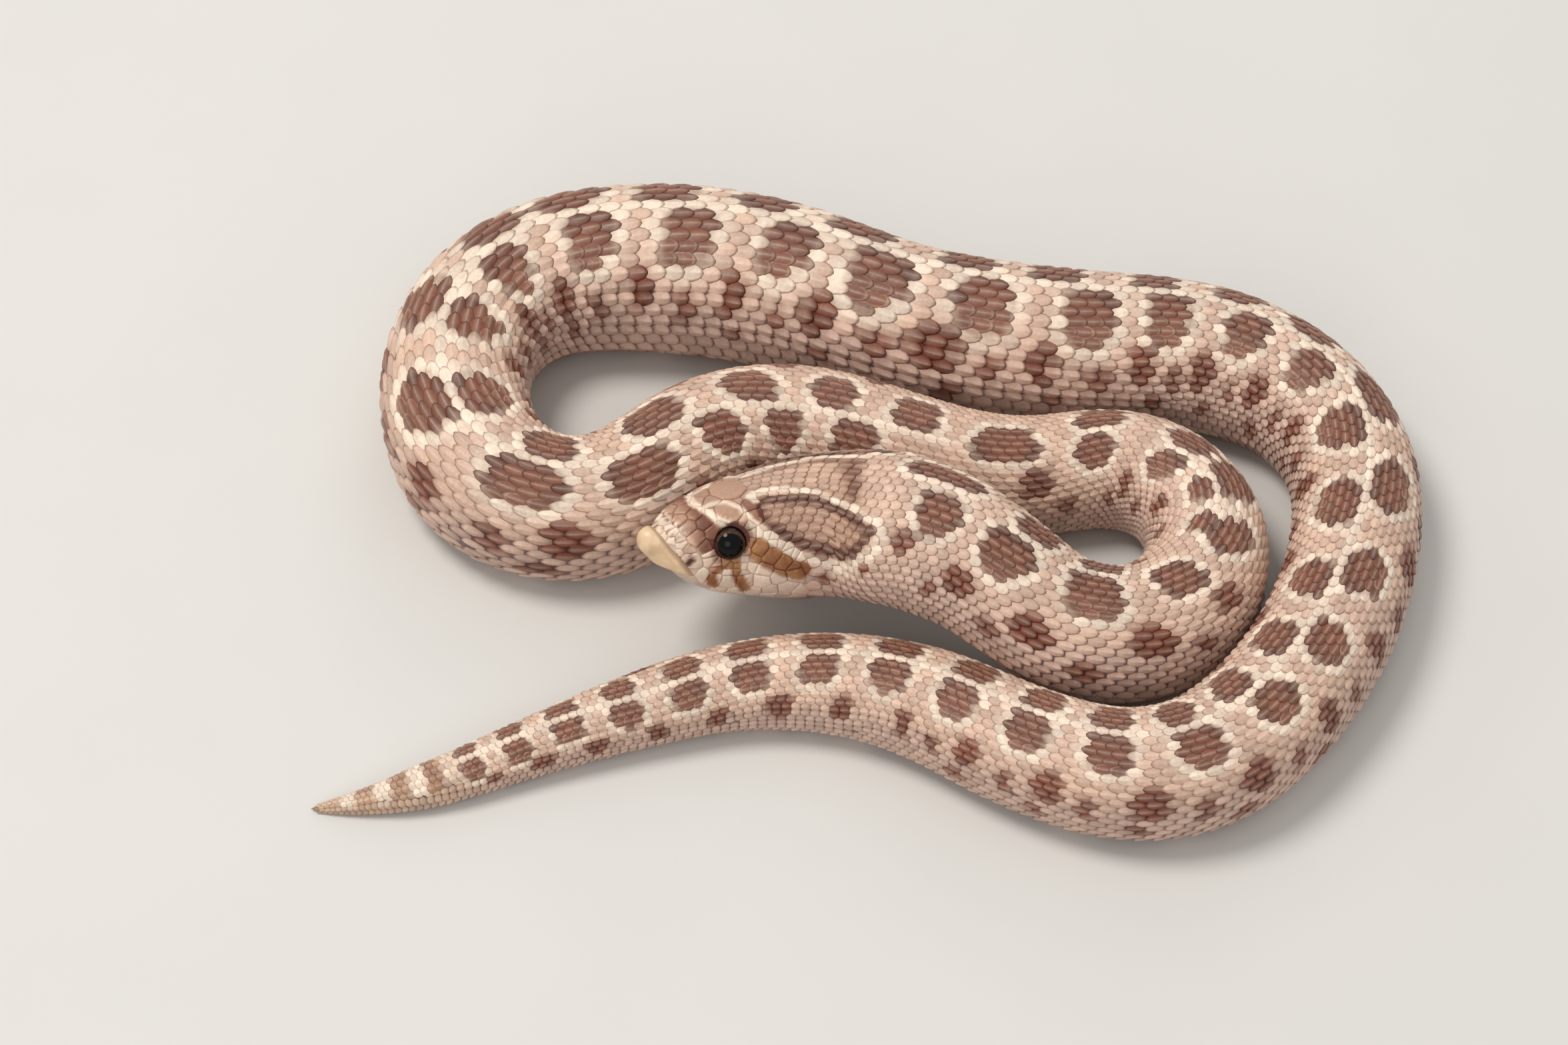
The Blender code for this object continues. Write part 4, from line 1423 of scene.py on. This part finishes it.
def raise_plate(bm, planes, site, tone):
    """Gives a patch its rounded border and thickness: places, corners, face sizes, values and bake map."""
    along, across = read_points(bm)
    inside = inside_planes(bm, planes)
    rise = site.height * (1 - (1 - np.clip(inside / 0.2, 0, 1)) ** 2.2) * 0.9
    rise = rise + site.height * 0.35 * ease(0.1, 1.0, inside)
    hole = np.hypot(along - NOSTRIL[0], np.abs(across) - NOSTRIL[1])
    rise = rise - NOSTRIL_PIT * fade(0.15, 0.5, hole)
    move_points(bm.verts, HIDE.lay(along, across, rise))
    lowered = add_walls(bm)
    move_points(lowered, HIDE.lay(*read_points(bm, lowered), -PLATE_DEPTH))
    close_holes(bm)
    along, across = read_points(bm)
    places, corners, totals = read_mesh(bm)
    values = marks(along, wrap(along, across))
    whole = marks(np.array([site.along]), np.array([site.across]))
    own = 0.5 if site.pull < SMALL_PULL else 0.9
    for name in values:
        values[name] = values[name] * own + whole[name] * (1 - own)
    # Painted shade along each plate's border and its sides, in the crevices between plates.
    values["edge"] = np.concatenate([fade(0.02, 0.13, inside), np.ones(len(lowered))]) * 0.45
    values["crest"] = np.zeros(len(places))
    values["tone"] = np.full(len(places), tone)
    return places * MM, corners, totals, values, bake_at(along, across, 0)


def make_plates(colours):
    """The plates over the head, lips and throat, joined as one mesh."""
    sites = plate_sites()
    scales = scale_sites()
    nearby = [Plate(row[0], row[1], 0.4, False, 0.0) for row in scales[scales[:, 0] < 0.5]]
    every = sites + nearby
    spots = np.array([site[:2] for site in every])
    centres = [Vector(point) for point in HIDE.lay(*spots.T, 0.0)]
    root, forward = shield_root()
    rng = np.random.default_rng(PLATE_SEED)
    chunks = []
    for site, centre in zip(sites, centres):
        if not site.built or (centre - root).dot(forward) > -0.15:
            continue
        planes = [(root, forward), *plate_edges(site, centre, every, centres)]
        bm = plate_patch(site, planes)
        over_eye = site.height == EYE_RING[3] and abs(site.across) < EYE[1]
        if sum(face.calc_area() for face in bm.faces) < (EYE_SLIVER if over_eye else SLIVER):
            bm.free()
            continue
        chunks.append(raise_plate(bm, planes, site, rng.random()))
    mesh = join_chunks("head_plates", chunks)
    material = hide_material("head_plates", colours, rough=0.46, smooth=0.3, coat=0.12)
    add_piece("head_plates", mesh, material)


def join_chunks(name, chunks):
    """One mesh from separate plates."""
    places, corners, totals, values, bake = zip(*chunks)
    offsets = np.cumsum([0] + [len(points) for points in places])
    return joined_mesh(
        name,
        np.concatenate(places),
        np.concatenate([indices + offset for indices, offset in zip(corners, offsets)]),
        np.concatenate(totals),
        {key: np.concatenate([one[key] for one in values]) for key in values[0]},
        np.concatenate(bake),
    )


def shield_root():
    """The leaning plane where the snout shield meets the plates behind it, facing forwards."""
    lean = math.radians(ROSTRAL_LEAN + SHIELD_LEAN)
    root = HEAD_POSE @ Vector((ROSTRAL_ROOT[0] - 0.35, 0.0, ROSTRAL_ROOT[1]))
    return root, HEAD_POSE.to_3x3() @ Vector((math.cos(lean), 0.0, -math.sin(lean)))


def shield_patch(planes):
    """The hide's front end as a bmesh, closed at the snout's tip and cut off behind and below."""
    bm = bmesh.new()
    bmesh.ops.create_grid(bm, x_segments=26, y_segments=48, size=1.0)
    along = SNOUT_ALONG + 0.02 + (np.array([vert.co.x for vert in bm.verts]) + 1) / 2 * 5.2
    across = np.array([vert.co.y for vert in bm.verts]) * 0.9999 * HIDE.around_at(along)
    place_points(bm, along, across, HIDE.lay(along, across, 0.0))
    bmesh.ops.remove_doubles(bm, verts=bm.verts, dist=0.003)
    layer = bm.verts.layers.float["along"]
    bmesh.ops.pointmerge(
        bm,
        verts=[vert for vert in bm.verts if vert[layer] < SNOUT_ALONG + 0.05],
        merge_co=HEAD_POSE @ Vector((SNOUT_TIP + 0.02, 0.0, -0.6)),
    )
    cut_by_planes(bm, planes, SHIELD_LOOPS)
    return bm


def make_rostral(colours):
    """The upturned shield on the snout: the hide ahead of its leaning root, thick and keeled."""
    root, forward = shield_root()
    mouth = HEAD_POSE @ Vector((5.4, 0.0, float(curve(MOUTH, 5.4)) + 0.12))
    below = HEAD_POSE.to_3x3() @ Vector((0.12, 0.0, -1.0)).normalized()
    planes = [(root, -forward), (mouth, below)]
    bm = shield_patch(planes)
    along, across = read_points(bm)
    inside = inside_planes(bm, planes)
    rise = SHIELD_RISE * (1 - (1 - np.clip(inside / 0.4, 0, 1)) ** 2)
    ridge = RIDGE_RISE * np.exp(-((across / RIDGE_BREADTH) ** 2)) * ease(0.0, 0.8, inside)
    move_points(bm.verts, HIDE.lay(along, across, rise + ridge))
    # Smoothing takes the ripples of the merged tip out.
    layer = bm.verts.layers.float["along"]
    tip = [vert for vert in bm.verts if vert[layer] < SNOUT_ALONG + 1.6 and not vert.is_boundary]
    for _ in range(SMOOTHINGS):
        bmesh.ops.smooth_vert(bm, verts=tip, factor=0.5, use_axis_x=True, use_axis_y=True, use_axis_z=True)
    lowered = add_walls(bm)
    for vert in lowered:
        vert.co = HEAD_POSE @ ((HEAD_POSE.inverted() @ vert.co) * SHIELD_INNER)
    close_holes(bm)
    along, across = read_points(bm)
    places, corners, totals = read_mesh(bm)
    # Painted shade toward the shield's border and on its sides.
    edge = np.concatenate([fade(0.05, 0.3, inside), np.ones(len(lowered))]) * 0.5
    share = np.clip(across / HIDE.around_at(along), -1, 1)
    bake = np.stack(unwrap(along, share, 0), axis=-1)
    mesh = joined_mesh("snout_shield", places * MM, corners, totals, {"edge": edge}, bake)
    add_piece("snout_shield", mesh, horn_material(colours), ["rostral_scale"])


EYE_LOOK = (0.42, 1.0, 0.18)  # where the left eye looks: forwards, sideways and up


def make_eyes(colours):
    """The eyeballs, each with its pole at the pupil and the angle from it kept for the iris."""
    material = eye_material(colours)
    for name, side in (("left", 1), ("right", -1)):
        bm = bmesh.new()
        bmesh.ops.create_uvsphere(bm, u_segments=48, v_segments=32, radius=EYE_RADIUS)
        gaze = [math.acos(max(-1.0, min(1.0, vert.co.z / EYE_RADIUS))) for vert in bm.verts]
        look = Vector((EYE_LOOK[0], side * EYE_LOOK[1], EYE_LOOK[2])).normalized()
        turn = look.to_track_quat("Z", "Y").to_matrix().to_4x4()
        place = Matrix.Translation((EYE_PLACE[0], side * EYE_PLACE[1], EYE_PLACE[2]))
        bmesh.ops.transform(bm, matrix=HEAD_POSE @ place @ turn, verts=bm.verts)
        mesh = finished_mesh(bm, "eyeball_" + name)
        write_attributes(mesh, {"gaze": gaze})
        add_piece("eyeball_" + name, mesh, material, ["eye_" + name])


# The stage


LAMP_COLOUR = (1.0, 0.98, 0.95)
SKY_COLOUR = (0.93, 0.96, 1.0, 1.0)
# Each lamp's name, place and size in metres, and its share of the key light's power.
LAMPS = (
    ("key", (-0.35, 0.1, 0.8), 0.35, 1.0),
    ("back", (0.15, 0.6, 0.4), 0.4, 0.12),
    ("front", (-0.15, -0.6, 0.45), 0.5, 0.22),
)
FLOOR_HALF = 1.5
LENS_ANGLE = math.radians(20.0)
CAMERA_TILT = math.radians(52.0)
TARGET = Vector((-8.68, 1.95, 0.0)) * MM


def make_floor(settings):
    """A plain floor, pale and a little uneven in tone."""
    bm = bmesh.new()
    bmesh.ops.create_grid(bm, x_segments=1, y_segments=1, size=FLOOR_HALF)
    mesh = bpy.data.meshes.new("floor")
    bm.to_mesh(mesh)
    bm.free()
    made, tree, shader = new_material("pale_floor")
    place = object_place(tree)
    darker = [part * 0.95 for part in settings.floor]
    tint = blend(tree, noise(tree, place, 0.02, 3.0), (*settings.floor, 1), (*darker, 1))
    feed(tree, tint, shader.inputs["Base Color"])
    set_inputs(shader, {"Roughness": 0.75})
    mesh.materials.append(made)
    floor = link("floor", mesh)


def make_lights(settings):
    """An even surround and three soft lamps."""
    world = bpy.data.worlds.new("studio")
    world.use_nodes = True
    set_inputs(world.node_tree.nodes["Background"], {"Color": SKY_COLOUR, "Strength": settings.sky})
    bpy.context.scene.world = world
    for name, spot, size, share in LAMPS:
        light = bpy.data.lights.new(name, "AREA")
        light.shape = "DISK"
        light.size = size
        light.energy = settings.key * share
        light.color = LAMP_COLOUR
        lamp = link(name, light)
        lamp.location = spot
        lamp.rotation_euler = (-Vector(spot)).to_track_quat("-Z", "Y").to_euler()


def make_camera(settings):
    """A camera in front of the snake, looking down at its middle."""
    camera = bpy.data.cameras.new("camera")
    camera.sensor_width = 36.0
    camera.angle = LENS_ANGLE
    camera.clip_start = 0.01
    seen = link("camera", camera)
    seen.location = TARGET + Vector((0.0, -math.cos(CAMERA_TILT), math.sin(CAMERA_TILT))) * settings.distance
    seen.rotation_euler = (TARGET - seen.location).to_track_quat("-Z", "Y").to_euler()
    bpy.context.scene.camera = seen


# The add-on


def colour_property(name, description, red, green, blue):
    """A colour setting, with its default given as a display colour."""
    return FloatVectorProperty(
        name=name,
        description=description,
        subtype="COLOR",
        size=3,
        min=0.0,
        max=1.0,
        default=linear(red, green, blue),
    )


class SnakeColours(PropertyGroup):
    """The animal's colours."""

    ground: colour_property("Ground", "Between the markings on the back", 206, 170, 146)
    cream: colour_property("Cream", "Round the blotches and down the middle", 233, 212, 190)
    brown: colour_property("Brown", "The back blotches", 112, 61, 38)
    dark: colour_property("Dark", "The rims of the blotches", 78, 37, 26)
    rust: colour_property("Rust", "The spots on the sides", 118, 55, 32)
    flank: colour_property("Flank", "The lower sides", 194, 161, 144)
    seam: colour_property("Seams", "The hide between the scales", 142, 122, 122)
    gold: colour_property("Gold", "The patches behind and under the eye", 164, 116, 72)
    belly: colour_property("Belly", "The belly scutes", 208, 178, 160)
    horn: colour_property("Horn", "The snout shield", 228, 196, 156)
    iris: colour_property("Iris", "The iris", 56, 35, 26)
    iris_light: colour_property("Iris fibres", "The iris's lighter fibres", 92, 60, 45)
    pupil: colour_property("Pupil", "The pupil", 8, 6, 6)


class SnakeSizes(PropertyGroup):
    """The sizes of the coat."""

    coat_depth: FloatProperty(
        name="Coat depth",
        description="How far the hide lies under the scales' tips",
        default=0.0003,
        precision=5,
        unit="LENGTH",
    )
    scale_rise: FloatProperty(
        name="Scale rise",
        description="How far a scale's free edge stands over the hide",
        default=0.00017,
        precision=5,
        unit="LENGTH",
    )
    keel_height: FloatProperty(
        name="Keel height",
        description="How far the keel stands over its scale",
        default=0.00011,
        precision=5,
        unit="LENGTH",
    )


class SnakeStage(PropertyGroup):
    """The floor, the lights and the camera."""

    floor: colour_property("Floor", "The plain floor", 214, 210, 203)
    key: FloatProperty(name="Key light", description="Power of the key light", default=4.4, unit="POWER")
    sky: FloatProperty(name="Surround", description="Strength of the even light", default=0.6)
    distance: FloatProperty(
        name="Distance", description="Camera to the snake's middle", default=0.42319, unit="LENGTH"
    )


def prepare(context):
    """Sets the hide's depth from its setting, and returns the colours and the sizes."""
    sizes = context.scene.snake_sizes
    HIDE.sink(sizes.coat_depth / MM)
    return context.scene.snake_colours, sizes


class SNAKE_OT_stage(Operator):
    """Lay the floor, hang the lights and set up the camera."""

    bl_idname = "snake.stage"
    bl_label = "Stage"

    def execute(self, context):
        settings = context.scene.snake_stage
        context.scene.view_settings.view_transform = "Standard"
        make_floor(settings)
        make_lights(settings)
        make_camera(settings)
        return {"FINISHED"}


class SNAKE_OT_hide(Operator):
    """Make the hide as one closed skin."""

    bl_idname = "snake.hide"
    bl_label = "Hide"

    def execute(self, context):
        make_hide(prepare(context)[0])
        return {"FINISHED"}


class SNAKE_OT_scales(Operator):
    """Lay the keeled scales on the back and sides."""

    bl_idname = "snake.scales"
    bl_label = "Keeled scales"

    def execute(self, context):
        make_scales(*prepare(context))
        return {"FINISHED"}


class SNAKE_OT_scutes(Operator):
    """Lay the broad scutes on the belly."""

    bl_idname = "snake.scutes"
    bl_label = "Belly scutes"

    def execute(self, context):
        make_scutes(*prepare(context))
        return {"FINISHED"}


class SNAKE_OT_plates(Operator):
    """Fit the plates over the head, lips and throat."""

    bl_idname = "snake.plates"
    bl_label = "Head plates"

    def execute(self, context):
        make_plates(prepare(context)[0])
        return {"FINISHED"}


class SNAKE_OT_rostral(Operator):
    """Shape the upturned shield on the snout."""

    bl_idname = "snake.rostral"
    bl_label = "Snout shield"

    def execute(self, context):
        make_rostral(prepare(context)[0])
        return {"FINISHED"}


class SNAKE_OT_eyes(Operator):
    """Make both eyes."""

    bl_idname = "snake.eyes"
    bl_label = "Eyes"

    def execute(self, context):
        make_eyes(context.scene.snake_colours)
        return {"FINISHED"}


class SNAKE_PT_panel(Panel):
    """The snake's steps and sizes."""

    bl_label = "Snake"
    bl_idname = "SNAKE_PT_panel"
    bl_space_type = "VIEW_3D"
    bl_region_type = "UI"
    bl_category = "Snake"

    def draw(self, context):
        layout = self.layout
        for kind in OPERATORS:
            layout.operator(kind.bl_idname)
        for group in (context.scene.snake_sizes, context.scene.snake_stage, context.scene.snake_colours):
            for name in group.__annotations__:
                layout.prop(group, name)


OPERATORS = (
    SNAKE_OT_stage,
    SNAKE_OT_hide,
    SNAKE_OT_scales,
    SNAKE_OT_scutes,
    SNAKE_OT_plates,
    SNAKE_OT_rostral,
    SNAKE_OT_eyes,
)
CLASSES = (SnakeColours, SnakeSizes, SnakeStage, *OPERATORS, SNAKE_PT_panel)


def register():
    for kind in CLASSES:
        bpy.utils.register_class(kind)
    bpy.types.Scene.snake_colours = PointerProperty(type=SnakeColours)
    bpy.types.Scene.snake_sizes = PointerProperty(type=SnakeSizes)
    bpy.types.Scene.snake_stage = PointerProperty(type=SnakeStage)


def unregister():
    del bpy.types.Scene.snake_colours, bpy.types.Scene.snake_sizes, bpy.types.Scene.snake_stage
    for kind in reversed(CLASSES):
        bpy.utils.unregister_class(kind)


def main():
    register()
    bpy.ops.snake.stage()
    bpy.ops.snake.hide()
    bpy.ops.snake.scales()
    bpy.ops.snake.scutes()
    bpy.ops.snake.plates()
    bpy.ops.snake.rostral()
    bpy.ops.snake.eyes()


if __name__ == "__main__":
    main()
